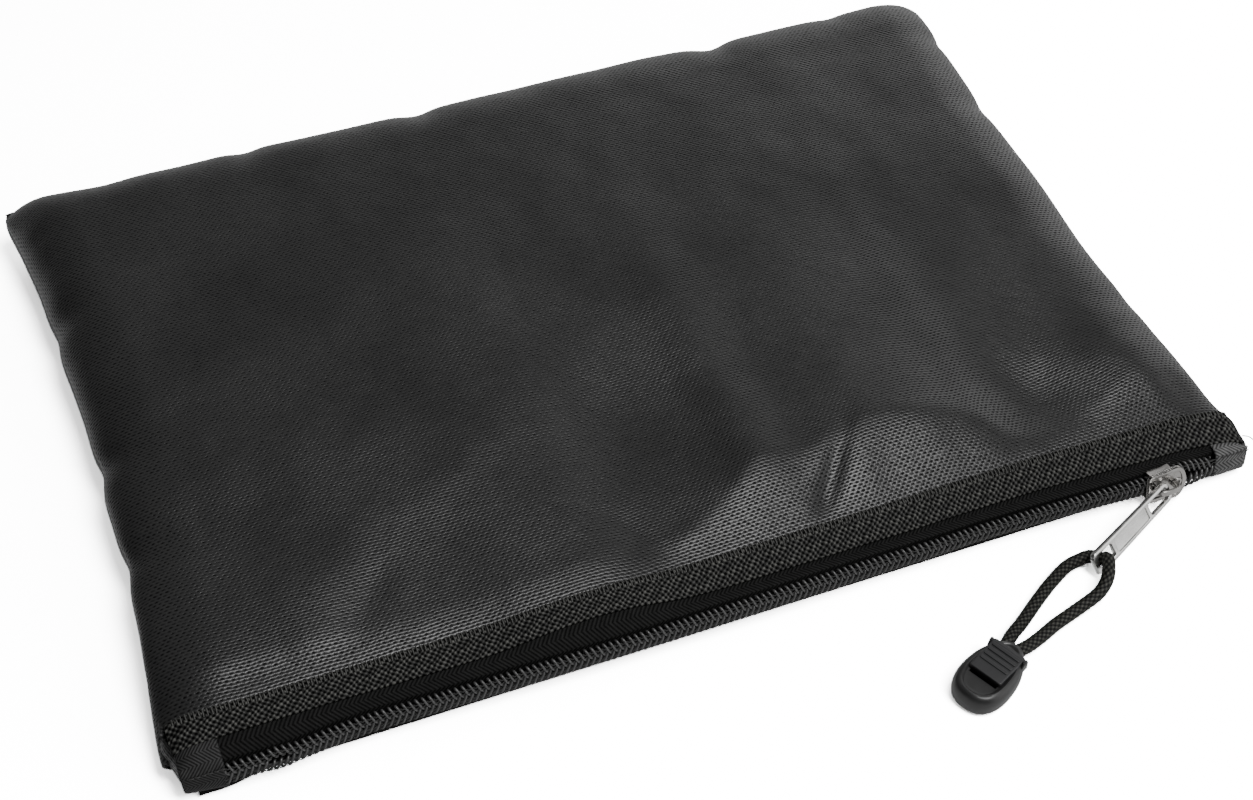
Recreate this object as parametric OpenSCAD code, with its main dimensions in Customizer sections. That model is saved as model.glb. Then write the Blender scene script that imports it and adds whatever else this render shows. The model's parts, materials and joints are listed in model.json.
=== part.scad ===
// Zipped fire-resistant battery pouch. Two padded fabric panels are joined on
// three sides; the front edge closes with a coil zipper whose slider carries a
// pull tab, a cord loop and a plastic cord end.
// Frame: origin in the middle of the underside, +X along the zipper the way its
// slider closes it, +Y from the zipper to the back edge, +Z up. Millimetres.

/* [Pouch] */
// Width of the pouch along the zipper, corner to corner
bag_w = 269; // [267:1:271]
// Distance from the middle of the underside to the back edge
back_y = 91; // [90:0.5:93]
// Height of the filled pouch
bag_h = 24; // [23:0.5:26]
// Height of the seam between the two panels
seam_z = 12.3; // [12:0.1:12.6]
// Width of the rolled edge in plan
roll_r = 9; // [8:0.5:10]
// How far each side is pulled in between its corners
pull_in = 4.5; // [3:0.5:5.5]
// Thickness of the coated glass-fibre outer fabric
outer_t = 0.8; // [0.6:0.1:0.8]
// Thickness of the insulating batting
batting_t = 2.7; // [2:0.1:2.7]
// Thickness of the lining
lining_t = 0.6; // [0.4:0.1:0.6]

/* [Front edge] */
// Width of the woven binding
binding_w = 7.9; // [7.4:0.1:7.9]
// Thickness of the woven binding
binding_t = 0.7; // [0.5:0.05:0.7]
// Spacing of the stitches on the binding
stitch_pitch = 3.6; // [1.8:0.1:5]
// Thickness of the zipper tape
tape_t = 0.45; // [0.35:0.05:0.45]

/* [Zipper] */
// Tooth spacing of the coil
coil_pitch = 1.5; // [1.5:0.01:1.52]
// Thickness of a coil tooth along the zipper
tooth_w = 0.62; // [0.5:0.01:0.64]
// Width of one closed coil half, from the chain's middle line
coil_half = 2.9; // [2.7:0.1:2.9]
// How far a tooth reaches past the middle line
tooth_lap = 0.5; // [0.3:0.05:0.5]
// Lean of the chain from the table's plane
chain_tilt = 75; // [74:0.5:76]
// Slider position along the zipper
slider_x = 109; // [100:0.5:109]

/* [Pull and cord] */
// Length of the pull tab between its two bars
pull_len = 29.6; // [29:0.1:30]
// Width of the pull tab
pull_w = 5.3; // [5.2:0.1:5.4]
// Thickness of the pull tab
pull_t = 1.2; // [1.1:0.1:1.2]
// Radius of the cord
cord_r = 1.4; // [1.2:0.1:1.4]

/* [Cord end] */
// Length of the cord end
end_len = 20.4; // [20:0.2:21]
// Width of the cord end
end_w = 12.6; // [12.4:0.1:13]
// Height of the cord end's wall
end_h = 5.6; // [5.4:0.1:5.6]
// Radius of the clip's hinge pin
clip_pin_r = 0.6; // [0.5:0.05:0.6]

/* [Hidden] */
$fn = 48;

// ---- Shared places and helpers ----
half_w = bag_w / 2;
gap = 0.1;                                       // between stacked layers
batting_depth = outer_t + gap;                   // depths below the outside surface
lining_depth = batting_depth + batting_t + gap;
pocket_depth = lining_depth + lining_t;

// Front slope, in [y, z]: a point so far down it and so far out from it.
slope_top = [-81.5, 12.3];
slope_angle = 23;
function slope_point(down, out) = slope_top
    + down * [-cos(slope_angle), -sin(slope_angle)]
    + out * [-sin(slope_angle), cos(slope_angle)];

// Zipper chain, in [y, z]: a point so far up its face and so far out to the front.
chain_mid = [-93.2, 5.5];
function chain_point(up, out) = chain_mid
    + up * [cos(chain_tilt), sin(chain_tilt)]
    + out * [-sin(chain_tilt), cos(chain_tilt)];

// The same frame for solids: x along the chain, y up its face, z out of it.
module chain_frame() {
    translate([0, chain_mid[0], chain_mid[1]]) rotate([chain_tilt, 0, 0]) children();
}

// Extrudes a [y, z] section between the two x values in ends.
module along_x(ends) {
    translate([ends[0], 0, 0])
        rotate([90, 0, 90])
            linear_extrude(ends[1] - ends[0]) children();
}

// ---- Pouch layers ----
front_y = -88;          // front limit of the panels' section
back_roll = 11;         // depth of the back roll in plan
roll_x = half_w - roll_r;
roll_y = back_y - back_roll;
roof_break_y = -40;     // the top slopes down in front of this
toe_start_y = -74;      // the underside rises from here
toe_end_y = -80;        // to here
toe_lift = 1.3;
corner_y = 84;          // the back corners start rounding here
panel_cut_y = -86.5;    // front edges of the three layers
batting_cut_y = -78;
lining_cut_y = -80;

// Heights at a distance depth inside the outside surface.
function low_z(y, depth) = depth
    + (y > toe_start_y ? 0
       : y < toe_end_y ? toe_lift
       : toe_lift * (toe_start_y - y) / (toe_start_y - toe_end_y));
function roof_z(y, depth) = bag_h - depth
    - (y > roof_break_y ? 0 : 13.6 * pow((roof_break_y - y) / 42, 1.6));
function top_z(y, depth) = max(roof_z(y, depth), low_z(y, depth) + 0.8);
function roll_z(angle, depth) = seam_z
    + (angle > 0 ? bag_h - seam_z - depth : seam_z - depth) * sin(angle);

// [y, z] section from front to back
function long_section(depth) = concat(
    [for (y = [front_y, -84, toe_end_y, -77, toe_start_y]) [y, low_z(y, depth)]],
    [for (angle = [-90:15:90])
        [roll_y + (back_roll - depth) * cos(angle), roll_z(angle, depth)]],
    [for (y = [roof_break_y:-4:front_y]) [y, top_z(y, depth)]]);

// [x, z] section from side to side, each side moved in by inset
function cross_section(depth, inset) = [
    for (side = [1, -1], t = [-90:15:90])
        let (angle = side * t)
        [side * (roll_x - inset + (roll_r - depth) * cos(angle)), roll_z(angle, depth)]];

// [x, y] outline of the panels
function side_x(y, depth) = half_w - depth - pull_in * (1 - pow(y / 90, 2))
    - (y > corner_y ? pow((y - corner_y) / 7, 2) * 6 : 0);
function right_outline(depth) = concat(
    [for (y = [-100:10:80]) [side_x(max(y, -90), depth), y]],
    [for (y = [corner_y, 87, 89]) [side_x(y, depth), y - depth * 0.7]],
    [[half_w - depth - 8, back_y - depth]]);

// closes a right-hand outline with its mirror image
function both_sides(right) = concat(right,
    [for (i = [len(right) - 1:-1:0]) [-right[i][0], right[i][1]]]);

// both sections crossed with the plan outline given as a child
module pouch_form(depth, inset) {
    intersection() {
        along_x([-half_w, half_w]) polygon(long_section(depth));
        translate([0, 100, 0])
            rotate([90, 0, 0])
                linear_extrude(220) polygon(cross_section(depth, inset));
        translate([0, 0, -1]) linear_extrude(bag_h + 2) children();
    }
}

// the pouch with its pulled-in sides
module pillow(depth) {
    pouch_form(depth, 0) polygon(both_sides(right_outline(depth)));
}

// the padding's form: straight sides, and back corners cut across
module core(depth) {
    core_x = half_w - pull_in - depth;
    core_y = back_y - depth;
    pouch_form(depth, pull_in)
        polygon(both_sides([[core_x + 6, -110], [core_x + 6, core_y - 10],
                            [core_x - 12, core_y + 5]]));
}

// first child less the second, behind cut_y
module shell(cut_y) {
    difference() {
        intersection() {
            children(0);
            translate([-half_w - 1, cut_y, -2]) cube([bag_w + 2, back_y - cut_y + 5, 70]);
        }
        children(1);
    }
}

// space above (side 1) or below (side -1) the seam and, in front, the chain
module seam_side(side, far_z, front_z) {
    along_x([-half_w - 1, half_w + 1])
        polygon([[-58, seam_z + side * gap], [back_y + 5, seam_z + side * gap],
                 [back_y + 5, far_z], [-110, far_z], [-110, front_z],
                 [front_y, 5 + side * gap]]);
}
module upper_side() { seam_side(1, far_z = 60, front_z = -1); }
module lower_side() { seam_side(-1, far_z = -5, front_z = -1.2); }

module outer_layer() {
    shell(panel_cut_y) {
        pillow(0);
        pillow(outer_t);
    }
}
module batting_layer() {
    shell(batting_cut_y) {
        core(batting_depth);
        core(batting_depth + batting_t);
    }
}
module lining_layer() {
    shell(lining_cut_y) {
        core(lining_depth);
        core(pocket_depth);
    }
}

module outer_panel_top() {
    color("#363636") intersection() { outer_layer(); upper_side(); }
}
module outer_panel_bottom() {
    color("#2f2f2f") intersection() { outer_layer(); lower_side(); }
}
module batting_top() {
    color("#d8d4c8") intersection() { batting_layer(); upper_side(); }
}
module batting_bottom() {
    color("#d8d4c8") intersection() { batting_layer(); lower_side(); }
}
module lining_top() {
    color("#242424") intersection() { lining_layer(); upper_side(); }
}
module lining_bottom() {
    color("#242424") intersection() { lining_layer(); lower_side(); }
}

// ---- Bound seam allowances, turned to the inside ----
seam_strip_w = 7;
side_strip_front_y = -54;
side_strip_len = 128;
back_strip_len = 224;
strip_gap = 1;                                           // to the pocket wall
strip_outer_x = half_w - pocket_depth - pull_in - strip_gap;
strip_front_y = back_y - pocket_depth - strip_gap - seam_strip_w;

module seam_strip(length) {
    translate([0, 0, seam_z - 1.7]) cube([seam_strip_w, length, 1.4]);
}
module seam_binding_left() {
    color("#1d1d1d")
        translate([-strip_outer_x, side_strip_front_y, 0]) seam_strip(side_strip_len);
}
module seam_binding_right() {
    color("#1d1d1d")
        translate([strip_outer_x - seam_strip_w, side_strip_front_y, 0])
            seam_strip(side_strip_len);
}
module seam_binding_back() {
    color("#1d1d1d")
        translate([back_strip_len / 2, strip_front_y, 0])
            rotate([0, 0, 90]) seam_strip(back_strip_len);
}

// ---- Woven binding: one strip down the front slope, one flat underneath ----
binding_ends = [-131.5, 134];
lower_binding_y = -80;                                   // back edge
lower_binding_z = 0.05;
lower_binding_top = lower_binding_z + binding_t * 0.85;
stitch_places = [-128:stitch_pitch:130];
stitch_t = 0.4;

module binding_tape_upper() {
    color("#2c2c29")
        along_x(binding_ends)
            polygon([slope_point(0, -binding_t), slope_point(binding_w, -binding_t),
                     slope_point(binding_w, -0.15), slope_point(binding_w - 0.3, 0),
                     slope_point(0.3, 0), slope_point(0, -0.15)]);
}
module binding_tape_lower() {
    color("#2c2c29")
        along_x(binding_ends)
            polygon([[lower_binding_y, lower_binding_z],
                     [lower_binding_y - binding_w, lower_binding_z],
                     [lower_binding_y - binding_w, lower_binding_top],
                     [lower_binding_y, lower_binding_top]]);
}
module binding_stitches_upper() {
    color("#111111")
        for (x = stitch_places)
            along_x([x, x + stitch_t])
                polygon([slope_point(0.5, 0.03), slope_point(1.9, 0.03),
                         slope_point(1.9, 0.3), slope_point(0.5, 0.3)]);
}
module binding_stitches_lower() {
    color("#111111")
        for (x = stitch_places)
            translate([x, -82.2, lower_binding_top + 0.02]) cube([stitch_t, 1.5, 0.05]);
}

// ---- Zipper tapes: flat along the binding, then turned to carry the coils ----
tape_ends = [-129, 130];
tape_out = -0.75;                // tape's front face in the chain frame
tape_back = tape_out - tape_t;
upper_tape_out = -0.8;           // tape's outer face on the front slope
lower_tape_z = 0.75;

module zipper_tape_upper() {
    color("#161616")
        along_x(tape_ends)
            polygon([slope_point(1, upper_tape_out), slope_point(7.9, upper_tape_out),
                     chain_point(4.3, tape_out), chain_point(0.8, tape_out),
                     chain_point(0.8, tape_back), chain_point(3.9, tape_back),
                     slope_point(7.7, upper_tape_out - tape_t),
                     slope_point(1, upper_tape_out - tape_t)]);
}
module zipper_tape_lower() {
    color("#161616")
        along_x(tape_ends)
            polygon([chain_point(-0.8, tape_out), chain_point(-3.9, tape_out),
                     [-93.2, lower_tape_z], [-80.5, lower_tape_z],
                     [-80.5, lower_tape_z + tape_t], [-92.7, lower_tape_z + tape_t],
                     chain_point(-3.7, tape_back), chain_point(-0.8, tape_back)]);
}

// ---- Coils ----
coil_start_x = -126;
coil_teeth = floor(-2 * coil_start_x / coil_pitch);
coil_cord_y = 1.4;               // middle of the filler cord in a coil half

// smooth step from 0 at from_x to 1 at to_x
function ramp(x, from_x, to_x) =
    let (t = min(1, max(0, (x - from_x) / (to_x - from_x)))) t * t * (3 - 2 * t);

// how far each coil half stands off the middle line at x: nothing while the
// chain is closed, opened by the slider's post, and drawn in again at the tab
function spread(x) = 1.25 * ramp(x, slider_x - 0.2, slider_x + 2.4)
    * (1 - 0.7 * ramp(x, slider_x + 6, slider_x + 13));
function tooth_x(i, shift) = coil_start_x + shift + i * coil_pitch;

// teeth of one half, joined along their outer edge
module comb(shift) {
    last = coil_teeth - 1;
    root = coil_half - 0.8;
    polygon(concat(
        [for (i = [0:last])
            let (x = tooth_x(i, shift), open = spread(x))
            each [[x - tooth_w / 2, open + root], [x - tooth_w / 2, open - tooth_lap],
                  [x + tooth_w / 2, open - tooth_lap], [x + tooth_w / 2, open + root]]],
        [for (i = [last:-1:0])
            let (x = tooth_x(i, shift))
            [x + (i == last ? tooth_w / 2 : i == 0 ? -tooth_w / 2 : 0),
             spread(x) + coil_half]]));
}

// stations of a strip's inner and outer edge, coarse where the chain is closed
strip_start_x = coil_start_x - 0.9;
strip_end_x = 125.6;
inner_stations = [each [strip_start_x:4.5:slider_x - 1],
                  each [slider_x - 0.5:1.5:strip_end_x]];
outer_stations = [each [strip_end_x:-1.5:slider_x - 0.5],
                  each [slider_x - 1:-4.5:strip_start_x]];

// strip that follows one coil half, centred on its filler cord
module strip(width) {
    polygon(concat(
        [for (x = inner_stations) [x, spread(x) + coil_cord_y - width / 2]],
        [for (x = outer_stations) [x, spread(x) + coil_cord_y + width / 2]]));
}
module coil(shift) {
    difference() {
        translate([0, 0, -0.7]) linear_extrude(1.8) comb(shift);
        translate([0, 0, -0.2]) linear_extrude(0.8) strip(0.9);
    }
}
module coil_cord() {
    translate([0, 0, -0.05]) linear_extrude(0.5) strip(0.56);
}
module coil_upper() {
    color("#141414") chain_frame() coil(0);
}
module coil_lower() {
    color("#141414") chain_frame() mirror([0, 1, 0]) coil(coil_pitch / 2);
}
module coil_cord_upper() {
    color("#303030") chain_frame() coil_cord();
}
module coil_cord_lower() {
    color("#303030") chain_frame() mirror([0, 1, 0]) coil_cord();
}

// ---- Folded twill tab round each end of the zipper ----
module end_tab() {
    polygon([[-88.95, 9.25], [-91.5, 10.55], chain_point(4.7, 1.6), chain_point(4.1, 2.0),
             chain_point(-3.6, 2.0), [-95.3, 0.05], [-88.2, 0.05], [-88.2, 0.65],
             [-94.8, 0.65], chain_point(-3.5, 1.4), chain_point(3.9, 1.4),
             [-91.8, 9.9], [-89.3, 8.85]]);
}
module end_tab_left() {
    color("#1f1f1f") along_x([-131.2, -122.3]) end_tab();
}
module end_tab_right() {
    color("#4a4a4a") along_x([123.4, 134.4]) end_tab();
}
module end_tab_stitches() {
    color("#101010")
        for (row_x = [-130.2, 124.6], i = [0:4], y = [-2.6, 3.2])
            chain_frame() translate([row_x + i * 1.7, y, 2.02]) cube([1.1, 0.35, 0.25]);
}

// ---- Die-cast slider ----
// blade outline, wider at its +X end
module blade(tail_half, nose_half) {
    polygon(concat(
        [[-4.9, -tail_half + 0.7], [-4.3, -tail_half], [-0.5, -tail_half], [1.8, -nose_half]],
        [for (t = [-75:15:75]) [3.2 + 2.1 * cos(t), nose_half * sin(t)]],
        [[1.8, nose_half], [-0.5, tail_half], [-4.3, tail_half], [-4.9, tail_half - 0.7]]));
}
module flange(side) {
    polygon([[-4.5, side * 3.05], [-0.5, side * 3.05], [0.9, side * 3.45],
             [0.9, side * 4.1], [-0.5, side * 3.7], [-4.5, side * 3.7]]);
}
module post() {
    polygon([[2.3, 0], [3.6, -0.6], [4.6, -0.5], [4.9, 0], [4.6, 0.5], [3.6, 0.6]]);
}

// stands an [x, z] outline up across the middle line
module upright(width) {
    rotate([90, 0, 0]) translate([0, 0, -width / 2]) linear_extrude(width) children();
}

// arch that holds the pull tab's bar
module bridge() {
    difference() {
        upright(1.3)
            polygon([[-3.7, 2.2], [-3.5, 4.6], [-2.7, 5.4], [1.3, 5.4], [2.3, 4.6], [2.6, 2.2]]);
        upright(2)
            polygon([[-2.7, 2.5], [-2.6, 4.3], [-2.2, 4.7], [0.7, 4.7], [1.2, 4.2], [1.3, 2.5]]);
    }
}
module slider_body() {
    color("#8f8a88") translate([slider_x, 0, 0]) chain_frame() {
        translate([0, 0, 1.35]) linear_extrude(1) blade(3.75, 4.3);
        translate([0, 0, -2.15]) linear_extrude(0.8) blade(3.4, 3.5);
        for (side = [-1, 1])
            translate([0, 0, -0.6]) linear_extrude(2.4) flange(side);
        translate([0, 0, -1.8]) linear_extrude(3.6) post();
        bridge();
    }
}

// ---- Pull tab: hangs forward and down from the bridge on to the table ----
pull_start = [slider_x - 0.8, chain_mid[0] - 3.63, chain_mid[1] + 0.76]; // bar in the bridge
pull_heading = 24.8 - 180;       // direction in plan, from +X
pull_drop = 5.4;                 // fall below level
pull_lean = 55;                  // turn about its own length
pull_dir = [cos(pull_heading) * cos(pull_drop), sin(pull_heading) * cos(pull_drop),
            -sin(pull_drop)];
tip_window_x = pull_len - 5.2;
tip_window_len = 4.1;

module pull_bar(x) {
    translate([x, -pull_w / 2, 0])
        rotate([-90, 0, 0])
            cylinder(r = pull_t / 2, h = pull_w, $fn = 32);
}

// box that leaves a rim on both long edges; the default height goes right through
module pull_cut(x, length, rim, z = -2, height = 4) {
    translate([x, -pull_w / 2 + rim, z]) cube([length, pull_w - 2 * rim, height]);
}
module pull_tab() {
    color("#c8c8c4")
        translate(pull_start) rotate([-pull_lean, pull_drop, pull_heading]) {
            difference() {
                translate([0, -pull_w / 2, -pull_t / 2]) cube([pull_len, pull_w, pull_t]);
                pull_cut(0.6, 5.2, rim = 1);
                pull_cut(tip_window_x, tip_window_len, rim = 0.9);
                // shallow recess in each face
                for (z = [pull_t / 2 - 0.2, -pull_t / 2 - 1])
                    pull_cut(6.8, pull_len - 13, rim = 0.8, z = z, height = 1.2);
            }
            pull_bar(0);
            pull_bar(pull_len);
        }
}

// ---- Cord loop: a skewed ellipse from the cord end, rising through the pull
// tab's tip window and lying on the table elsewhere ----
end_place = [44.05, -127.2];     // cord end's origin on the table
end_dir = 25.6;                  // its direction in plan
leg_mid_y = 0.3;                 // the cord's two legs inside the cord end
leg_offset = 1.65;
leg_stations = [[1.5, 2.9], [5, 2.9], [10.2, 2.7]];      // [x, z] in the cord end

window_mid = pull_start + (tip_window_x + tip_window_len / 2) * pull_dir;
loop_half_len = 18;
loop_half_w = 4.7;
loop_dir = 18.7;
loop_along = [cos(loop_dir), sin(loop_dir)];
loop_across = [-sin(loop_dir), cos(loop_dir)];
loop_mid = [window_mid[0], window_mid[1]] - loop_half_len * loop_along;
cord_z = cord_r + 0.15;          // height of the lying cord's middle

// the rise peaks at -28 degrees and meets the window at 0
function loop_point(t) =
    let (place = loop_mid + loop_half_len * cos(t) * loop_along
                 + (loop_half_w * sin(t) + 1.5 * pow(sin(t), 2)) * loop_across,
         rise = (window_mid[2] - cord_z) * 2.38 * exp(-pow((t + 28) / 30, 2)))
    [place[0], place[1], cord_z + rise];
function leg_y(side) = leg_mid_y + side * leg_offset;
function leg_point(i, side) =
    let (x = leg_stations[i][0], y = leg_y(side))
    [end_place[0] + x * cos(end_dir) - y * sin(end_dir),
     end_place[1] + x * sin(end_dir) + y * cos(end_dir),
     leg_stations[i][1]];
cord_path = concat(
    [for (i = [0:2]) leg_point(i, -1)],
    [for (t = [-142:8:142]) loop_point(t)],
    [for (i = [2:-1:0]) leg_point(i, 1)]);

function unit(v) = v / norm(v);

// one ring of points at each path point, skinned and capped
module tube(path, radius, sides) {
    last = len(path) - 1;
    points = [for (i = [0:last])
        let (ahead = unit(path[min(i + 1, last)] - path[max(i - 1, 0)]),
             level = unit(cross([0, 0, 1], ahead)),
             upward = cross(ahead, level))
        each [for (j = [0:sides - 1])
            let (angle = 360 * j / sides)
            path[i] + radius * (cos(angle) * level + sin(angle) * upward)]];
    walls = [for (i = [0:last - 1], j = [0:sides - 1])
        let (next = (j + 1) % sides)
        [i * sides + j, (i + 1) * sides + j, (i + 1) * sides + next, i * sides + next]];
    polyhedron(points, concat(
        [[for (j = [0:sides - 1]) j]],
        walls,
        [[for (j = [sides - 1:-1:0]) last * sides + j]]));
}
module cord_loop() {
    color("#151512") tube(cord_path, cord_r, 10);
}

// ---- Cord end: a tray that holds the cord's ends under a hinged, ribbed clip ----
mouth_x = 9.5;                   // end where the cord leaves
clip_len = 10.4;
clip_w = 7.3;
hinge_x = clip_len / 2;
hinge_z = 6.3;
lug_len = 2.2;

module end_frame() {
    translate([end_place[0], end_place[1], 0]) rotate([0, 0, end_dir]) children();
}
module end_plan() {
    half = end_w / 2;
    round_x = mouth_x - end_len + 5.5;
    polygon(concat(
        [[mouth_x, -half * 0.55], [mouth_x, half * 0.55], [7.5, half * 0.86], [4, half]],
        [for (t = [90:15:270]) [round_x + 5.5 * cos(t), half * 0.62 * sin(t)]],
        [[4, -half], [7.5, -half * 0.86]]));
}
module hinge_pin(radius, length) {
    translate([hinge_x, -length / 2, hinge_z])
        rotate([-90, 0, 0]) cylinder(r = radius, h = length);
}
module cord_end_body() {
    color("#3a3a3a") end_frame() difference() {
        union() {
            linear_extrude(end_h) end_plan();
            // hinge lugs
            for (y = [-5, 3.9])
                translate([hinge_x - lug_len / 2, y, 4]) cube([lug_len, 1.1, 3.3]);
        }
        // tray and the clip's seat
        translate([-3.6, -3.6, 1.2]) cube([10.4, 7.2, 6.4]);
        translate([-7, -3.9, end_h - 1]) cube([11, 7.8, 3]);
        // cord holes
        for (side = [-1, 1])
            translate([6, leg_y(side), 2.75]) rotate([0, 90, 0]) cylinder(r = 1.62, h = 6);
        hinge_pin(clip_pin_r + 0.05, 12);
        // room between the lugs
        translate([3.6, -3.85, 4.9]) cube([3.4, 7.7, 4]);
    }
}
module cord_end_clip() {
    color("#2e2e30") end_frame() {
        difference() {
            translate([-clip_len / 2, -clip_w / 2, end_h - 0.7]) cube([clip_len, clip_w, 1.9]);
            translate([-4.2, -2.8, end_h - 1]) cube([8.4, 5.6, 1.1]);
            translate([4.6, -4, end_h - 1]) cube([2, 8, 1.1]);
        }
        // ribs
        for (i = [0:3])
            translate([-4.6 + i * 2.3, -clip_w / 2, end_h + 1.1]) cube([1.1, clip_w, 0.5]);
        hinge_pin(clip_pin_r, 9.8);
    }
}

outer_panel_bottom();
outer_panel_top();
batting_bottom();
batting_top();
lining_bottom();
lining_top();
seam_binding_left();
seam_binding_right();
seam_binding_back();
binding_tape_lower();
binding_tape_upper();
binding_stitches_lower();
binding_stitches_upper();
zipper_tape_lower();
zipper_tape_upper();
coil_lower();
coil_upper();
coil_cord_lower();
coil_cord_upper();
end_tab_left();
end_tab_right();
end_tab_stitches();
slider_body();
pull_tab();
cord_loop();
cord_end_body();
cord_end_clip();
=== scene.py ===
"""Padded fabric pouch with a zipper, lying flat on a pale floor.

+X is right along the zipper, +Y goes back to the hinge seam and +Z is up; the
zipper faces -Y. Shapes are worked out in millimetres and built in metres.
"""
import json
import math
import bpy
import bmesh
import numpy as np
from mathutils import Matrix, Vector, noise


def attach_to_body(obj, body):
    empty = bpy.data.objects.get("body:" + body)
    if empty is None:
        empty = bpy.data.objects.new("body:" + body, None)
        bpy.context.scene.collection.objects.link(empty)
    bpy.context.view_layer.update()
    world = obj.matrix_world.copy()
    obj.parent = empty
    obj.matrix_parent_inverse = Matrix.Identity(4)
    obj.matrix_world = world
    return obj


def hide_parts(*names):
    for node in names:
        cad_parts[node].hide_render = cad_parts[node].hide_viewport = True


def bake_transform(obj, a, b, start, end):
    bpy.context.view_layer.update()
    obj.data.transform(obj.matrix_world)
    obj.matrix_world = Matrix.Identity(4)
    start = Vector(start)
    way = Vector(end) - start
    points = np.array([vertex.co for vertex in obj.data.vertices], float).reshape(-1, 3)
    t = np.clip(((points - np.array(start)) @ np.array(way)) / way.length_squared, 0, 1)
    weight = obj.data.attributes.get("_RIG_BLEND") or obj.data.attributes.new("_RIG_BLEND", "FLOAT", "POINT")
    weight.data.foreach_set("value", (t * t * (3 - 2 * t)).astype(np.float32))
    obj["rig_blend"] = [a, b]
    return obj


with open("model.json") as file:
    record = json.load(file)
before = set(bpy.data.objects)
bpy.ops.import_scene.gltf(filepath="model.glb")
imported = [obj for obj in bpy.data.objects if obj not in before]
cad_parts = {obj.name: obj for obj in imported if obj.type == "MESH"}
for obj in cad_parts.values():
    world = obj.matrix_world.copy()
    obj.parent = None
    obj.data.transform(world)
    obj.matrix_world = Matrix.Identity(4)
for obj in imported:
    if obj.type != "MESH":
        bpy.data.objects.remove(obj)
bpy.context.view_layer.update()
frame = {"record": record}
MM = 0.001

made = {}       # pieces by name
weights = {}    # blend weights by piece name, 0 = first body, 1 = second body


# --------------------------------------------------------------------------
# numbers and curves
# --------------------------------------------------------------------------
def clamp(x, low=0.0, high=1.0):
    return np.minimum(high, np.maximum(low, x))


def smooth(x, start, end):
    """0 before start, 1 after end, eased between."""
    t = clamp((x - start) / (end - start))
    return t * t * (3 - 2 * t)


def gauss(x, width):
    return np.exp(-(x / width) ** 2)


def roll(distance, radius):
    """Rounded edge: 0 at the seam, 1 from radius inwards."""
    rest = clamp(1 - distance / radius)
    return clamp(1 - rest * rest) ** 0.56


def table(x, stations):
    """Smooth curve through (x, value) stations."""
    stations = np.array(stations, float)
    xs, values = stations[:, 0], stations[:, 1]
    slopes = np.gradient(values, xs)
    x = np.clip(np.asarray(x, float), xs[0], xs[-1])
    i = np.clip(np.searchsorted(xs, x) - 1, 0, len(xs) - 2)
    span = xs[i + 1] - xs[i]
    t = (x - xs[i]) / span
    start = 2 * t ** 3 - 3 * t ** 2 + 1
    start_slope = t ** 3 - 2 * t ** 2 + t
    end = -2 * t ** 3 + 3 * t ** 2
    end_slope = t ** 3 - t ** 2
    return (start * values[i] + start_slope * span * slopes[i]
            + end * values[i + 1] + end_slope * span * slopes[i + 1])


def lengths(path):
    """Distance along a path at each of its points."""
    steps = np.linalg.norm(np.diff(path, axis=0), axis=1)
    return np.concatenate([[0], np.cumsum(steps)])


def catmull(points, per_span):
    """Catmull-Rom curve through the points."""
    points = np.asarray(points, float)
    last = len(points) - 1
    curve = []
    for i in range(last):
        p1, p2 = points[i], points[i + 1]
        p0 = points[i - 1] if i > 0 else 2 * points[0] - points[1]
        p3 = points[i + 2] if i + 1 < last else 2 * points[-1] - points[-2]
        for t in np.arange(per_span) / per_span:
            curve.append(0.5 * ((2 * p1) + (-p0 + p2) * t
                                + (2 * p0 - 5 * p1 + 4 * p2 - p3) * t * t
                                + (-p0 + 3 * p1 - 3 * p2 + p3) * t ** 3))
    curve.append(points[-1])
    return np.array(curve)


def arc(x, y, radius, start, end, count=8):
    """Points on a circle, angles in degrees."""
    angles = [math.radians(a) for a in np.linspace(start, end, count)]
    return [(x + radius * math.cos(a), y + radius * math.sin(a)) for a in angles]


def rounded_rect(x0, x1, half, radius, count):
    """Rectangle from x0 to x1 and -half to half, with rounded corners."""
    left, right, side = x0 + radius, x1 - radius, half - radius
    return (arc(left, -side, radius, 180, 270, count) + arc(right, -side, radius, 270, 360, count)
            + arc(right, side, radius, 0, 90, count) + arc(left, side, radius, 90, 180, count))


def axes(x_axis, y_axis, z_axis, origin):
    """4 x 4 matrix of a local frame."""
    matrix = np.eye(4)
    for i, column in enumerate((x_axis, y_axis, z_axis, origin)):
        matrix[:3, i] = column
    return matrix


def to_frame(verts, matrix):
    return verts @ matrix[:3, :3].T + matrix[:3, 3]


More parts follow.
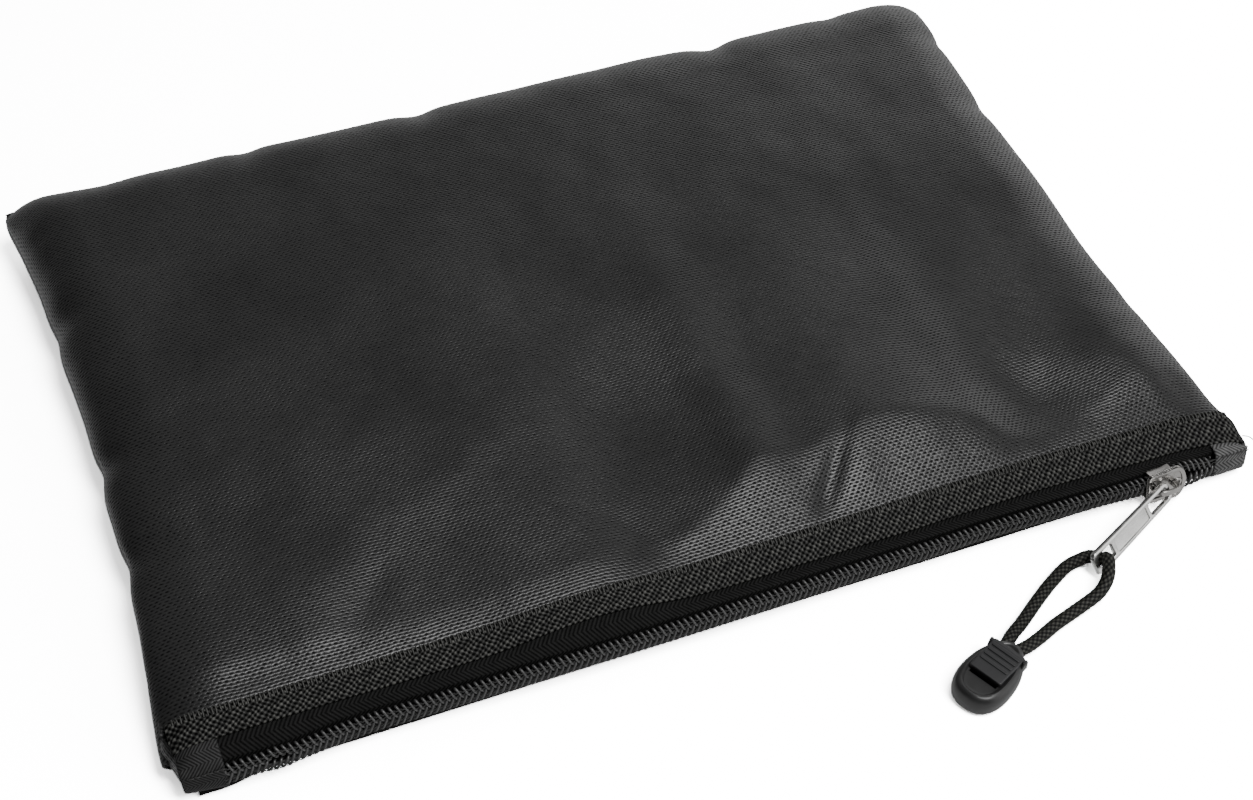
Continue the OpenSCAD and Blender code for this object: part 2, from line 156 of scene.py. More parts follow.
# --------------------------------------------------------------------------
# meshes
# --------------------------------------------------------------------------
def make_mesh(name, verts, faces, coords=None, material=None, blend=None):
    """Object from vertices in mm; coords are the weave's own coordinates in mm."""
    mesh = bpy.data.meshes.new(name)
    verts = np.asarray(verts, dtype=float) * MM
    if isinstance(faces, np.ndarray):
        count, corners = faces.shape
        mesh.vertices.add(len(verts))
        mesh.vertices.foreach_set("co", verts.ravel())
        mesh.loops.add(count * corners)
        mesh.loops.foreach_set("vertex_index", faces.astype(np.int32).ravel())
        mesh.polygons.add(count)
        starts = (np.arange(count) * corners).astype(np.int32)
        mesh.polygons.foreach_set("loop_start", starts)
        mesh.polygons.foreach_set("loop_total", np.full(count, corners, dtype=np.int32))
        mesh.update(calc_edges=True)
    else:
        mesh.from_pydata(verts.tolist(), [], [list(map(int, face)) for face in faces])
    mesh.validate()
    if coords is not None:
        attribute = mesh.attributes.new("weave", "FLOAT_VECTOR", "POINT")
        attribute.data.foreach_set("vector", np.asarray(coords, dtype=np.float32).ravel())
    if material:
        mesh.materials.append(material)
    mesh.polygons.foreach_set("use_smooth", np.ones(len(mesh.polygons), dtype=bool))
    mesh.update()
    ob = bpy.data.objects.new(name, mesh)
    bpy.context.scene.collection.objects.link(ob)
    made[name] = ob
    if blend is not None:
        weights[name] = blend
    return ob


def grid_faces(rows, columns, start=0, flip=False, wrap=False):
    """Quads of a vertex grid; wrap closes it across its columns."""
    row, column = np.meshgrid(np.arange(rows - 1), np.arange(columns if wrap else columns - 1),
                              indexing="ij")
    next_column = (column + 1) % columns
    here, ahead = row * columns, (row + 1) * columns
    quads = np.stack([here + column, ahead + column, ahead + next_column, here + next_column],
                     axis=-1).reshape(-1, 4)
    if flip:
        quads = quads[:, ::-1]
    return quads + start


def normals_of(grid, at, facing):
    """Unit normals of a grid, turned so that the one at `at` looks along `facing`."""
    normals = np.cross(np.gradient(grid, axis=0), np.gradient(grid, axis=1))
    normals = normals / np.maximum(np.linalg.norm(normals, axis=2, keepdims=True), 1e-9)
    return -normals if np.dot(normals[at], facing) < 0 else normals


def weave_grid(along, across, shape, third=0):
    """Weave coordinates of a grid from arrays that broadcast to its shape."""
    return np.stack([np.broadcast_to(part, shape) for part in (along, across, third)], axis=-1)


def slab(name, outer, inner, coords, material, blend=None):
    """Closed sheet between two grids of points."""
    rows, columns = outer.shape[:2]
    count = rows * columns
    verts = np.concatenate([outer.reshape(-1, 3), inner.reshape(-1, 3)])
    faces = [grid_faces(rows, columns), grid_faces(rows, columns, count, flip=True)]
    index = np.arange(count).reshape(rows, columns)
    for rim in (index[:, 0], index[::-1, -1], index[0, ::-1], index[-1, :]):
        start, end = rim[:-1], rim[1:]
        faces.append(np.stack([end, start, start + count, end + count], axis=-1))
    if blend is not None:
        blend = np.concatenate([blend.reshape(-1)] * 2)
    ob = make_mesh(name, verts, np.concatenate(faces),
                   np.concatenate([coords.reshape(-1, 3)] * 2), material, blend)
    if blend is not None:
        ob["w"] = 1     # marks a sheet that carries blend weights
    return ob


def tube(path, radius, sides, up=(0, 0, 1), radius_at=None):
    """Capped tube: vertices, faces and weave coordinates."""
    path = np.asarray(path, float)
    count = len(path)
    ahead = np.gradient(path, axis=0)
    ahead /= np.linalg.norm(ahead, axis=1, keepdims=True)
    # carry one cross axis along the path so that the tube doesn't twist
    axis = np.cross(np.asarray(up, float), ahead[0])
    axis /= np.linalg.norm(axis)
    first = [axis]
    for i in range(1, count):
        axis = first[-1] - ahead[i] * np.dot(first[-1], ahead[i])
        axis /= np.linalg.norm(axis)
        first.append(axis)
    first = np.array(first)
    second = np.cross(ahead, first)
    angle = (np.arange(sides) * 2 * math.pi / sides)[None, :]
    along = lengths(path)[:, None]
    radii = radius_at(along, angle) if radius_at else np.full((count, sides), float(radius))
    spokes = (np.cos(angle)[..., None] * first[:, None, :]
              + np.sin(angle)[..., None] * second[:, None, :])
    verts = path[:, None, :] + radii[:, :, None] * spokes
    coords = weave_grid(along, angle * radius, (count, sides))
    faces = list(grid_faces(count, sides, wrap=True))
    faces += [np.arange(sides)[::-1], np.arange((count - 1) * sides, count * sides)]
    return verts.reshape(-1, 3), faces, coords.reshape(-1, 3)


def plate(loops, thick, base, bevel):
    """Flat bevelled plate standing on z = base; loops are outlines and holes."""
    curve = bpy.data.curves.new("plate", "CURVE")
    curve.dimensions = "2D"
    curve.fill_mode = "BOTH"
    curve.extrude = thick / 2 - bevel
    curve.bevel_depth = bevel
    curve.bevel_resolution = 3
    curve.offset = -bevel
    for loop in loops:
        spline = curve.splines.new("POLY")
        spline.points.add(len(loop) - 1)
        for point, (x, y) in zip(spline.points, loop):
            point.co = (x, y, 0, 1)
        spline.use_cyclic_u = True
    ob = bpy.data.objects.new("plate", curve)
    bpy.context.scene.collection.objects.link(ob)
    bpy.context.view_layer.update()
    graph = bpy.context.evaluated_depsgraph_get()
    mesh = bpy.data.meshes.new_from_object(ob.evaluated_get(graph))
    verts = np.zeros(len(mesh.vertices) * 3)
    mesh.vertices.foreach_get("co", verts)
    verts = verts.reshape(-1, 3)
    verts[:, 2] += base + thick / 2
    faces = [list(polygon.vertices) for polygon in mesh.polygons]
    bpy.data.objects.remove(ob)
    bpy.data.meshes.remove(mesh)
    bpy.data.curves.remove(curve)
    return verts, faces


def join(parts):
    """Vertices and faces of several parts as one."""
    faces, start = [], 0
    for part in parts:
        faces += [np.asarray(face) + start for face in part[1]]
        start += len(part[0])
    return np.concatenate([part[0] for part in parts]), faces


def threads(name, tubes, material, hinged=False):
    """One object from several tubes; hinged ones follow the open mouth."""
    verts, faces = join(tubes)
    coords = np.concatenate([part[2] for part in tubes])
    blend = hinge_weight(verts[:, 0], verts[:, 1]) if hinged else None
    return make_mesh(name, verts, faces, coords, material, blend)


def clean(ob, merge=0.0):
    """Turns normals outwards, after merging vertices closer than `merge` metres."""
    bm = bmesh.new()
    bm.from_mesh(ob.data)
    if merge:
        bmesh.ops.remove_doubles(bm, verts=bm.verts, dist=merge)
    bmesh.ops.recalc_face_normals(bm, faces=bm.faces)
    bm.to_mesh(ob.data)
    bm.free()
    ob.data.update()


def sharpen(ob, degrees):
    """Smooth shading with edges steeper than the limit left sharp."""
    mesh = ob.data
    mesh.polygons.foreach_set("use_smooth", np.ones(len(mesh.polygons), dtype=bool))
    bm = bmesh.new()
    bm.from_mesh(mesh)
    limit = math.radians(degrees)
    for edge in bm.edges:
        edge.smooth = not (len(edge.link_faces) == 2 and edge.calc_face_angle(0) > limit)
    bm.to_mesh(mesh)
    bm.free()
    mesh.update()


# --------------------------------------------------------------------------
# shader graphs
# --------------------------------------------------------------------------
def rgba(colour):
    """Opaque colour from a grey level or a red, green, blue triple."""
    return (*colour, 1.0) if isinstance(colour, tuple) else (colour, colour, colour, 1.0)


class Graph:
    """Adds nodes to a shader tree; most methods return the new output socket."""

    def __init__(self, tree):
        self.tree = tree
        tree.nodes.clear()

    def add(self, kind, inputs, **settings):
        """New node; each input is linked if it's a socket, else set."""
        node = self.tree.nodes.new("ShaderNode" + kind)
        for name, value in settings.items():
            setattr(node, name, value)
        for key, value in inputs.items():
            if isinstance(value, bpy.types.NodeSocket):
                self.tree.links.new(value, node.inputs[key])
            else:
                node.inputs[key].default_value = value
        return node

    def calc(self, operation, *values):
        return self.add("Math", dict(enumerate(values)), operation=operation).outputs[0]

    def scale_add(self, value, factor, offset):
        return self.calc("MULTIPLY_ADD", value, factor, offset)

    def centred(self, value):
        """Brings a 0..1 value to -0.5..0.5."""
        return self.calc("SUBTRACT", value, 0.5)

    def weigh(self, first, second):
        """Sum of two (value, share) pairs."""
        return self.scale_add(*first, self.calc("MULTIPLY", *second))

    def remap(self, value, source, target, **settings):
        """Maps the source range onto the target range."""
        inputs = dict(enumerate((value, *source, *target)))
        return self.add("MapRange", inputs, **settings).outputs[0]

    def weave(self):
        return self.add("Attribute", {}, attribute_name="weave").outputs["Vector"]

    def split(self, vector):
        return list(self.add("SeparateXYZ", {0: vector}).outputs)

    def place(self, kind="Object"):
        return self.add("TexCoord", {}).outputs[kind]

    def stretch(self, vector, **inputs):
        return self.add("Mapping", {"Vector": vector, **inputs}).outputs[0]

    def noise(self, vector, scale, detail=4, roughness=0.5):
        inputs = {"Vector": vector, "Scale": scale, "Detail": detail, "Roughness": roughness}
        return self.add("TexNoise", inputs).outputs["Fac"]

    def ramp(self, value, stops):
        """Colour ramp from (position, colour) stops."""
        node = self.add("ValToRGB", {0: value})
        elements = node.color_ramp.elements
        while len(elements) < len(stops):
            elements.new(0.5)
        for element, (position, colour) in zip(elements, stops):
            element.position = position
            element.color = rgba(colour)
        return node.outputs[0]

    def mix(self, factor, first, second, blend="MIX"):
        inputs = {0: factor, 6: first, 7: second}
        return self.add("Mix", inputs, data_type="RGBA", blend_type=blend).outputs[2]

    def tint(self, colour, shade):
        return self.mix(1.0, colour, shade, blend="MULTIPLY")

    def bump(self, height, strength, distance):
        """Bumped normal; distance in metres."""
        inputs = {"Height": height, "Strength": strength, "Distance": distance}
        return self.add("Bump", inputs).outputs[0]


class Material(Graph):
    def __init__(self, name):
        self.material = bpy.data.materials.new(name)
        self.material.use_nodes = True
        super().__init__(self.material.node_tree)

    def finish(self, **inputs):
        """Feeds the surface shader; underscores stand for spaces in input names."""
        inputs = {key.replace("_", " "): value for key, value in inputs.items()}
        surface = self.add("BsdfPrincipled", inputs)
        self.add("OutputMaterial", {0: surface.outputs[0]})
        return self.material


# --------------------------------------------------------------------------
# materials
# --------------------------------------------------------------------------
def panel_material():
    """Silicone-coated glass-fibre plain weave, satin."""
    pitch, row_height = 1.45, 0.79          # mm between weave gaps along and across
    gap_along = dict(reach=0.31, power=2.4)   # a gap's half size, in pitches, and squareness
    gap_across = dict(reach=0.29, power=2.0)
    wander = 0.55                           # mm the yarns stray
    mat = Material("coated_glass_weave")
    vector = mat.weave()
    along, across, _ = mat.split(vector)
    big = mat.noise(vector, scale=0.028, detail=3)
    mid = mat.noise(vector, scale=0.35, roughness=0.6)
    fine = mat.noise(vector, scale=2.3, detail=2)
    jitter = mat.noise(vector, scale=1.15, detail=1)
    along = mat.scale_add(mat.centred(mid), factor=wander, offset=along)
    across = mat.scale_add(mat.centred(mid), factor=-wander, offset=across)
    row = mat.calc("DIVIDE", across, row_height)
    # every other row is staggered by half a pitch
    odd = mat.calc("MULTIPLY", mat.calc("FLOORED_MODULO", mat.calc("FLOOR", row), 2.0), 0.5)
    column = mat.calc("ADD", mat.calc("DIVIDE", along, pitch), odd)
    from_column = mat.centred(mat.calc("FRACT", column))
    from_row = mat.centred(mat.calc("FRACT", row))

    def fall(offset, reach, power):
        return mat.calc("POWER", mat.calc("ABSOLUTE", mat.calc("DIVIDE", offset, reach)), power)

    away = mat.calc("ADD", fall(from_column, **gap_along), fall(from_row, **gap_across))
    gap = mat.calc("MULTIPLY", mat.calc("EXPONENT", mat.calc("MULTIPLY", away, -1.0)),
                   mat.remap(jitter, source=(0.36, 0.60), target=(0.45, 1.1)))
    gap_depth = 0.80
    ridge = mat.calc("COSINE", mat.calc("MULTIPLY", from_row, 2 * math.pi))
    height = mat.calc("SUBTRACT", mat.scale_add(ridge, factor=-0.10, offset=0.86),
                      mat.calc("MULTIPLY", gap, gap_depth))
    height = mat.scale_add(mat.centred(fine), factor=0.35, offset=height)
    # the coating fills the weave more in some places
    fill = mat.remap(big, source=(0.35, 0.65), target=(0.75, 1.0))
    height = mat.calc("MULTIPLY", height, fill)
    colour = mat.ramp(height, stops=[(0.1, (0.0012, 0.0012, 0.0013)),
                                     (0.5, (0.0085, 0.0085, 0.0087)), (1.0, 0.0145)])
    shade = mat.ramp(mid, stops=[(0.3, (0.80, 0.80, 0.82)), (0.7, (1.18, 1.17, 1.13))])
    rough = mat.calc("ADD", mat.remap(height, source=(0.2, 0.9), target=(0.50, 0.23)),
                     mat.remap(big, source=(0.35, 0.65), target=(0.0, 0.07)))
    return mat.finish(
        Base_Color=mat.tint(colour, shade), Roughness=rough, IOR=1.46, Sheen_Weight=0.03,
        Normal=mat.bump(height, strength=1.0, distance=0.00013),
        Specular_IOR_Level=mat.remap(height, source=(0.10, 0.75), target=(0.05, 0.58)))


def lining_material():
    yarn_pitch = 0.9    # mm
    mat = Material("lining_weave")
    vector = mat.weave()
    waves = [mat.calc("COSINE", mat.calc("MULTIPLY", way, 2 * math.pi / yarn_pitch))
             for way in mat.split(vector)[:2]]
    height = mat.scale_add(mat.calc("MULTIPLY", *waves), factor=0.5, offset=0.5)
    fuzz = mat.noise(vector, scale=1.1)
    colour = mat.ramp(mat.weigh((fuzz, 0.4), (height, 0.6)),
                      stops=[(0.2, 0.006), (0.9, (0.03, 0.03, 0.031))])
    return mat.finish(Base_Color=colour, Roughness=0.8,
                      Normal=mat.bump(height, strength=0.8, distance=0.0001))


def batting_material():
    mat = Material("felted_batting")
    vector = mat.weave()
    clumps = mat.noise(vector, scale=0.9, detail=8, roughness=0.7)
    fibres = mat.noise(vector, scale=5.0, detail=6, roughness=0.7)
    colour = mat.ramp(clumps, stops=[(0.3, (0.50, 0.47, 0.41)), (0.7, (0.76, 0.74, 0.69))])
    height = mat.calc("ADD", clumps, fibres)
    return mat.finish(Base_Color=colour, Roughness=0.95,
                      Normal=mat.bump(height, strength=1.0, distance=0.0003))


def binding_material():
    """Coarse webbing: the third weave coordinate lifts knuckles out of dark grooves, with a painted
    highlight on the knuckles and painted shade in the grooves.
    """
    fibre_share = 0.35
    mat = Material("woven_binding")
    vector = mat.weave()
    knuckle = mat.split(vector)[2]
    fibre = mat.noise(mat.stretch(vector, Scale=(1.2, 6.0, 1.0)), scale=3.0, detail=6)
    spot = mat.noise(vector, scale=0.8, detail=3)
    height = mat.calc("ADD", knuckle, mat.calc("MULTIPLY", mat.centred(fibre), fibre_share))
    # painted highlight on the knuckles and painted shade in the grooves
    colour = mat.ramp(height, stops=[(0.18, 0.0005), (0.55, (0.0075, 0.0075, 0.0071)),
                                     (1.0, (0.070, 0.070, 0.066))])
    shade = mat.ramp(spot, stops=[(0.3, (0.75, 0.75, 0.72)), (0.7, (1.25, 1.25, 1.2))])
    return mat.finish(
        Base_Color=mat.tint(colour, shade), Roughness=0.55,
        Normal=mat.bump(fibre, strength=0.7, distance=0.00010),
        Specular_IOR_Level=mat.remap(height, source=(0.2, 0.8), target=(0.02, 0.42)))


def tape_material(name, dark, light, pitch, width, rough, specular):
    """Herringbone: diagonal ribs `pitch` mm apart that turn back every `width` mm."""
    mat = Material(name)
    vector = mat.weave()
    along, across, _ = mat.split(vector)
    zigzag = mat.calc("MULTIPLY", mat.calc("PINGPONG", across, width), 1.0)
    diagonal = mat.calc("ADD", along, zigzag)
    wave = mat.calc("COSINE", mat.scale_add(diagonal, factor=2 * math.pi / pitch, offset=0.0))
    rib = mat.scale_add(wave, factor=0.5, offset=0.5)
    fuzz = mat.noise(vector, scale=2.2, detail=5, roughness=0.6)
    spot = mat.noise(vector, scale=0.5, detail=3)
    height = mat.weigh((fuzz, 0.55), (rib, 0.55))
    colour = mat.ramp(height, stops=[(0.15, dark), (0.85, light)])
    shade = mat.ramp(spot, stops=[(0.3, 0.8), (0.7, 1.2)])
    return mat.finish(
        Base_Color=mat.tint(colour, shade), Roughness=rough,
        Normal=mat.bump(height, strength=0.9, distance=0.00009),
        Specular_IOR_Level=mat.remap(height, source=(0.2, 0.8),
                                     target=(specular * 0.3, specular)))


def nylon_material(name, dark, light, rough):
    mat = Material(name)
    grain = mat.noise(mat.place(), scale=900.0, detail=3)
    return mat.finish(
        Base_Color=mat.ramp(grain, stops=[(0.3, dark), (0.7, light)]),
        Roughness=mat.remap(grain, source=(0.3, 0.7), target=(rough - 0.05, rough + 0.1)),
        Normal=mat.bump(grain, strength=0.25, distance=0.00003), Specular_IOR_Level=0.6)


def thread_material(name, dark, light):
    mat = Material(name)
    grain = mat.noise(mat.place(), scale=4000.0, detail=3)
    return mat.finish(Base_Color=mat.ramp(grain, stops=[(0.3, dark), (0.7, light)]),
                      Roughness=0.6, Normal=mat.bump(grain, strength=0.5, distance=0.00004))


def metal_material(name, dark, light, rough):
    """Brushed metal with blotches and painted shade darkening its corners."""
    blot_share = 0.6
    mat = Material(name)
    place = mat.place()
    grain = mat.stretch(place, Scale=(0.25, 1.0, 1.0), Rotation=(0, 0, math.radians(-25)))
    brushed = mat.noise(grain, scale=700.0)
    blot = mat.noise(place, scale=260.0, detail=5, roughness=0.6)
    colour = mat.ramp(blot, stops=[(0.32, dark), (0.62, light)])
    uneven = mat.calc("ADD", brushed, mat.calc("MULTIPLY", blot, blot_share))
    # painted shade: ambient occlusion darkens the colour in corners and crevices
    corners = mat.add("AmbientOcclusion", {"Distance": 0.0011}, samples=8).outputs["AO"]
    painted_corner_shade = mat.ramp(corners, stops=[(0.25, 0.10), (0.80, 1.0)])
    return mat.finish(
        Base_Color=mat.tint(colour, painted_corner_shade), Metallic=1.0,
        Roughness=mat.remap(uneven, source=(0.5, 1.1), target=(rough - 0.08, rough + 0.14)),
        Normal=mat.bump(brushed, strength=0.25, distance=0.00002))


def cord_material():
    """Braided polyester: the third weave coordinate lifts light picks off a dark braid."""
    mat = Material("braided_cord")
    vector = mat.weave()
    pick = mat.split(vector)[2]
    fuzz = mat.noise(vector, scale=4.0)
    height = mat.weigh((fuzz, 0.3), (pick, 0.8))
    colour = mat.ramp(height, stops=[(0.35, (0.0006, 0.0006, 0.0005)),
                                     (0.68, (0.0050, 0.0050, 0.0042)),
                                     (0.98, (0.060, 0.060, 0.049))])
    return mat.finish(
        Base_Color=colour, Roughness=0.62,
        Normal=mat.bump(fuzz, strength=0.5, distance=0.00006),
        Specular_IOR_Level=mat.remap(height, source=(0.3, 0.9), target=(0.03, 0.35)))


def plastic_material(name, dark, light, rough):
    mat = Material(name)
    place = mat.place()
    grain = mat.noise(place, scale=2600.0, detail=5, roughness=0.6)
    cloud = mat.noise(place, scale=120.0)
    return mat.finish(
        Base_Color=mat.ramp(cloud, stops=[(0.3, dark), (0.7, light)]),
        Roughness=mat.remap(cloud, source=(0.3, 0.7), target=(rough - 0.06, rough + 0.08)),
        Normal=mat.bump(grain, strength=0.35, distance=0.00003))


PANEL = panel_material()
LINING = lining_material()
BATTING = batting_material()
BINDING = binding_material()
TAPE = tape_material("zipper_tape_weave", dark=0.0006, light=(0.0115, 0.0115, 0.0112),
                     pitch=1.05, width=2.1, rough=0.8, specular=0.12)
TAB_LEFT = tape_material("tab_twill_dark", dark=0.0012, light=0.022,
                         pitch=0.85, width=2.4, rough=0.6, specular=0.25)
TAB_RIGHT = tape_material("tab_twill_grey", dark=0.004, light=0.115,
                          pitch=1.05, width=2.1, rough=0.6, specular=0.3)
SEAM = tape_material("seam_tape_weave", dark=0.003, light=0.016,
                     pitch=0.7, width=2.0, rough=0.8, specular=0.4)
COIL = nylon_material("coil_monofilament", dark=0.034, light=0.062, rough=0.32)
FILLER = nylon_material("filler_cord", dark=0.01, light=0.03, rough=0.7)
THREAD = thread_material("sewing_thread", dark=0.003, light=(0.016, 0.016, 0.015))
EDGE_THREAD = thread_material("seam_thread", dark=(0.008, 0.008, 0.0075),
                              light=(0.055, 0.055, 0.050))
SLIDER = metal_material("slider_diecast", dark=(0.29, 0.282, 0.272),
                        light=(0.41, 0.400, 0.388), rough=0.22)
PULL = metal_material("pull_nickel", dark=(0.60, 0.595, 0.58),
                      light=(0.72, 0.715, 0.70), rough=0.24)
CORD = cord_material()
CORD_END = plastic_material("cord_end_plastic", dark=0.0125, light=0.0185, rough=0.38)
CLIP = plastic_material("clip_plastic", dark=(0.0095, 0.0095, 0.0105),
                        light=(0.0150, 0.0150, 0.0160), rough=0.42)

# --------------------------------------------------------------------------
# the pouch's form, mm
# --------------------------------------------------------------------------
SEAM_Z = 12.3       # side and back seams' height
BACK = 91.0         # back seam's y
FRONT = -87.4       # y of the faces' front rows

# The binding's upper line (y and z), its width measured on a 23 degree slope, and the
# chain's middle line (y, z and tilt in degrees). All are (x, value).
BINDING_Y = [
    (-134, -81.4), (-118, -81.7), (-98, -81.5), (-58, -81.6), (-38, -81.7), (-17, -81.6),
    (2, -81.6), (23, -81.3), (43, -81.25), (63, -80.95), (83, -81.05), (93, -81.35),
    (103, -81.7), (118, -82.1), (134, -84.2)]
BINDING_Z = [
    (-134, 13.6), (-118, 13.6), (-98, 13.0), (-78, 12.8), (-58, 13.2), (-48, 14.1), (-38, 14.6),
    (-28, 14.2), (-17, 13.2), (2, 12.9), (13, 12.7), (40, 12.6), (118, 12.9), (134, 12.9)]
BINDING_WIDTH = [
    (-134, 6.6), (-118, 6.2), (-98, 6.1), (-58, 6.35), (-38, 5.9), (-28, 6.1), (-12, 7.3),
    (13, 7.6), (43, 7.7), (83, 7.9), (118, 8.2), (134, 8.3)]
CHAIN_Y = [
    (-130, -93.2), (-121, -93.19), (-115, -93.18), (-110.5, -93.18), (-107, -93.12),
    (-101, -92.6), (-91, -92.1), (-82, -92.3), (-62, -92.75), (-42, -93.1), (-32, -93.2),
    (-12, -93.1), (8, -92.85), (28, -92.5), (48, -92.4), (58, -92.15), (68, -92.25),
    (78, -92.45), (90, -92.8), (100, -93.15), (109, -93.2), (120, -93.3), (134, -93.3)]
CHAIN_Z = [
    (-130, 5.5), (-120, 5.5), (-113, 5.5), (-109, 5.5), (-98, 5.8), (60, 5.85), (95, 5.7),
    (105, 5.5), (134, 5.5)]
CHAIN_TILT = [
    (-130, 75), (-120, 75), (-113, 75), (-109, 75), (-98, 76), (-30, 79), (10, 76), (35, 79),
    (55, 84), (85, 83), (100, 77), (109, 75), (134, 75)]

# How far the seams stray outwards: (y, mm) for the sides, (x, mm) for the back.
EDGE_RIGHT = [
    (-90, 0.6), (-84, 0.6), (-78, -1.1), (-72, -2.0), (-65, -2.6), (-58, -3.0), (-50, -2.8),
    (-38, -2.5), (-24, -2.4), (-12, -1.6), (0, -0.9), (10, -0.6), (30, -1.0), (50, -0.7),
    (74, -0.6), (91, -0.6)]
EDGE_LEFT = [
    (-90, 0.4), (-84, 1.0), (-78, 0.9), (-65, 0.5), (-28, 0.3), (-13, 0.9), (0, 0.4), (20, 0.6),
    (30, 0.9), (50, 0.5), (69, 0.6), (79, 0.7), (88, 1.4), (91, 1.4)]
EDGE_BACK = [
    (-134, -0.4), (-128, -0.2), (-118, -1.2), (-109, -1.8), (-100, -1.3), (-80, -1.1),
    (-71, -0.4), (-61, -1.1), (-41, -1.4), (-21, -1.3), (0, -1.1), (42, -0.9), (53, -1.2),
    (64, -1.8), (75, -1.2), (98, -1.2), (121, -0.6), (134, -0.4)]

# Per side (+1 right, -1 left): stray table, wobble variant, notches (y, width, depth) and
# the rounded back corner (start y, length, depth).
SIDES = {
    1: dict(edge=EDGE_RIGHT, variant=1, notches=[(36, 5, 0.7), (-44, 5, 0.3), (66, 4, 0.6)],
            corner=(81, 10.0, 9.0)),
    -1: dict(edge=EDGE_LEFT, variant=2, notches=[(-37, 5, 1.0), (-8, 5, 1.1), (40, 5, 0.7)],
             corner=(85, 7.0, 4.5))}
BACK_NOTCHES = [(-71, 4.5, 1.3), (-23, 5, 1.4), (66, 5, 1.5), (104, 4, 0.6)]   # x, width, depth

# The upper face falls to the binding in a short step and a long slope: the short step's
# height and length as (x, mm).
STEP_HEIGHT = [
    (-134, 2.0), (-115, 1.6), (-95, 1.5), (-82, 1.3), (-66, 1.1), (-36, 1.0), (-18, 1.0),
    (-6, 1.3), (4, 2.9), (14, 5.8), (26, 5.2), (34, 6.2), (44, 7.6), (60, 6.8), (70, 4.6),
    (79, 1.9), (92, 1.4), (102, 2.6), (114, 4.2), (134, 4.0)]
STEP_LENGTH = [
    (-134, 10), (-95, 9), (-82, 8.0), (-66, 8.0), (-36, 8.0), (-18, 8.0), (-6, 9.0), (4, 13),
    (14, 20), (26, 18), (34, 19), (44, 21), (60, 18), (70, 14.0), (79, 7), (92, 7), (102, 10),
    (114, 14), (134, 12)]
SLOPE_LENGTH = 140.0

# Bulges and hollows of the upper face: x, y, half length, half width, turn in degrees, height.
BULGES = [
    # behind the right half of the binding, with creases between
    (6, -66, 15, 7.0, 12, 0.5), (-8, -75, 7, 3.6, 25, 0.6), (53, -64, 15, 8.0, 4, 0.7),
    (114, -62, 10, 9.0, -10, 0.9), (29, -72, 2.2, 13, -38, -1.1), (37, -73, 5, 7, -35, 0.35),
    (88, -64, 11.0, 11.0, -10, -1.9), (78, -74, 4.0, 9, -30, -0.6),
    (91, -78.0, 5.0, 3.6, -10, 0.3), (124, -75, 4.0, 8, 20, -0.6),
    # left front: a wide soft slope, then a flatter facet beside the middle
    (-100, -56, 22, 12, 18, 0.7), (-112, -84, 16, 12, 0, -0.8), (-84, -68, 4.5, 13, -42, -0.5),
    (-20, -70, 3.6, 9, 35, -0.5), (-66, -46, 30, 7, 28, 0.4),
    # gentle crowns and hollows on the top
    (-35, 8, 60, 36, 20, 1.0), (40, -8, 52, 26, 24, -0.9), (80, 30, 40, 36, -20, 0.8),
    (-88, 30, 30, 32, 10, -0.7), (-4, -38, 44, 14, 14, -0.9), (-70, -28, 30, 18, 8, 0.7)]
# Dents that run in from the seams: place along the seam, depth.
BACK_DENTS = [(-71, 1.0), (-23, 1.2), (66, 1.2), (104, 0.6)]
SIDE_DENTS = {1: [(35, 1.2), (-44, 1.1), (66, 0.5), (-10, 0.4)],
              -1: [(-37, 1.0), (-8, 1.0), (40, 0.6), (70, 0.4)]}
DENT_SPREAD = 0.28      # a dent's widening per mm inwards
DENT_REACH = 11         # mm over which a dent fades

rng = np.random.RandomState(7)
RIPPLES = [(rng.uniform(-1, 1), rng.uniform(0, 6.28), frequency)
           for frequency in (0.11, 0.17, 0.26, 0.41, 0.63)]


def wobble(position, variant):
    """Irregular wave of roughly unit height; each variant is another wave."""
    total = 0
    for i, (strength, phase, frequency) in enumerate(RIPPLES):
        angle = frequency * position * 2 * math.pi / 10 + phase + 1.7 * variant * (i + 1)
        total = total + (0.6 + 0.4 * strength) * np.sin(angle) / (1 + 0.6 * i)
    return total / 2.2


def half_width(y, side):
    """Side seam's distance from the middle at y."""
    shape = SIDES[side]
    behind_front = clamp((y + 90) / 181)
    width = 134.6 - 4.6 * (1 - (y / 91.0) ** 2)
    width = width + 0.35 * wobble(y, shape["variant"]) * smooth(behind_front, 0, 0.1)
    for place, spread, depth in shape["notches"]:
        width = width - depth * gauss(y - place, spread)
    width = width + table(y, shape["edge"])
    start, length, depth = shape["corner"]
    corner = clamp((y - start) / length)
    return width - depth * (1 - np.sqrt(clamp(1 - corner * corner)))


def back_y(x):
    """Back seam's y at x."""
    y = BACK + 0.30 * wobble(x, 3) + table(x, EDGE_BACK)
    for place, spread, depth in BACK_NOTCHES:
        y = y - depth * gauss(x - place, spread)
    corner = clamp((np.abs(x) - 124) / 10.0)
    return y - 2.0 * corner * corner


def front_fall(x, distance, height):
    """Height above the binding's upper line at a distance behind it."""
    step = table(x, STEP_HEIGHT)
    distance = np.maximum(distance, -6)
    behind = np.maximum(distance, 0)
    rise = (step * (1 - clamp(1 - behind / table(x, STEP_LENGTH)) ** 1.35)
            + (height - step) * (1 - clamp(1 - behind / SLOPE_LENGTH) ** 1.5))
    return rise + 0.45 * np.minimum(distance, 0)


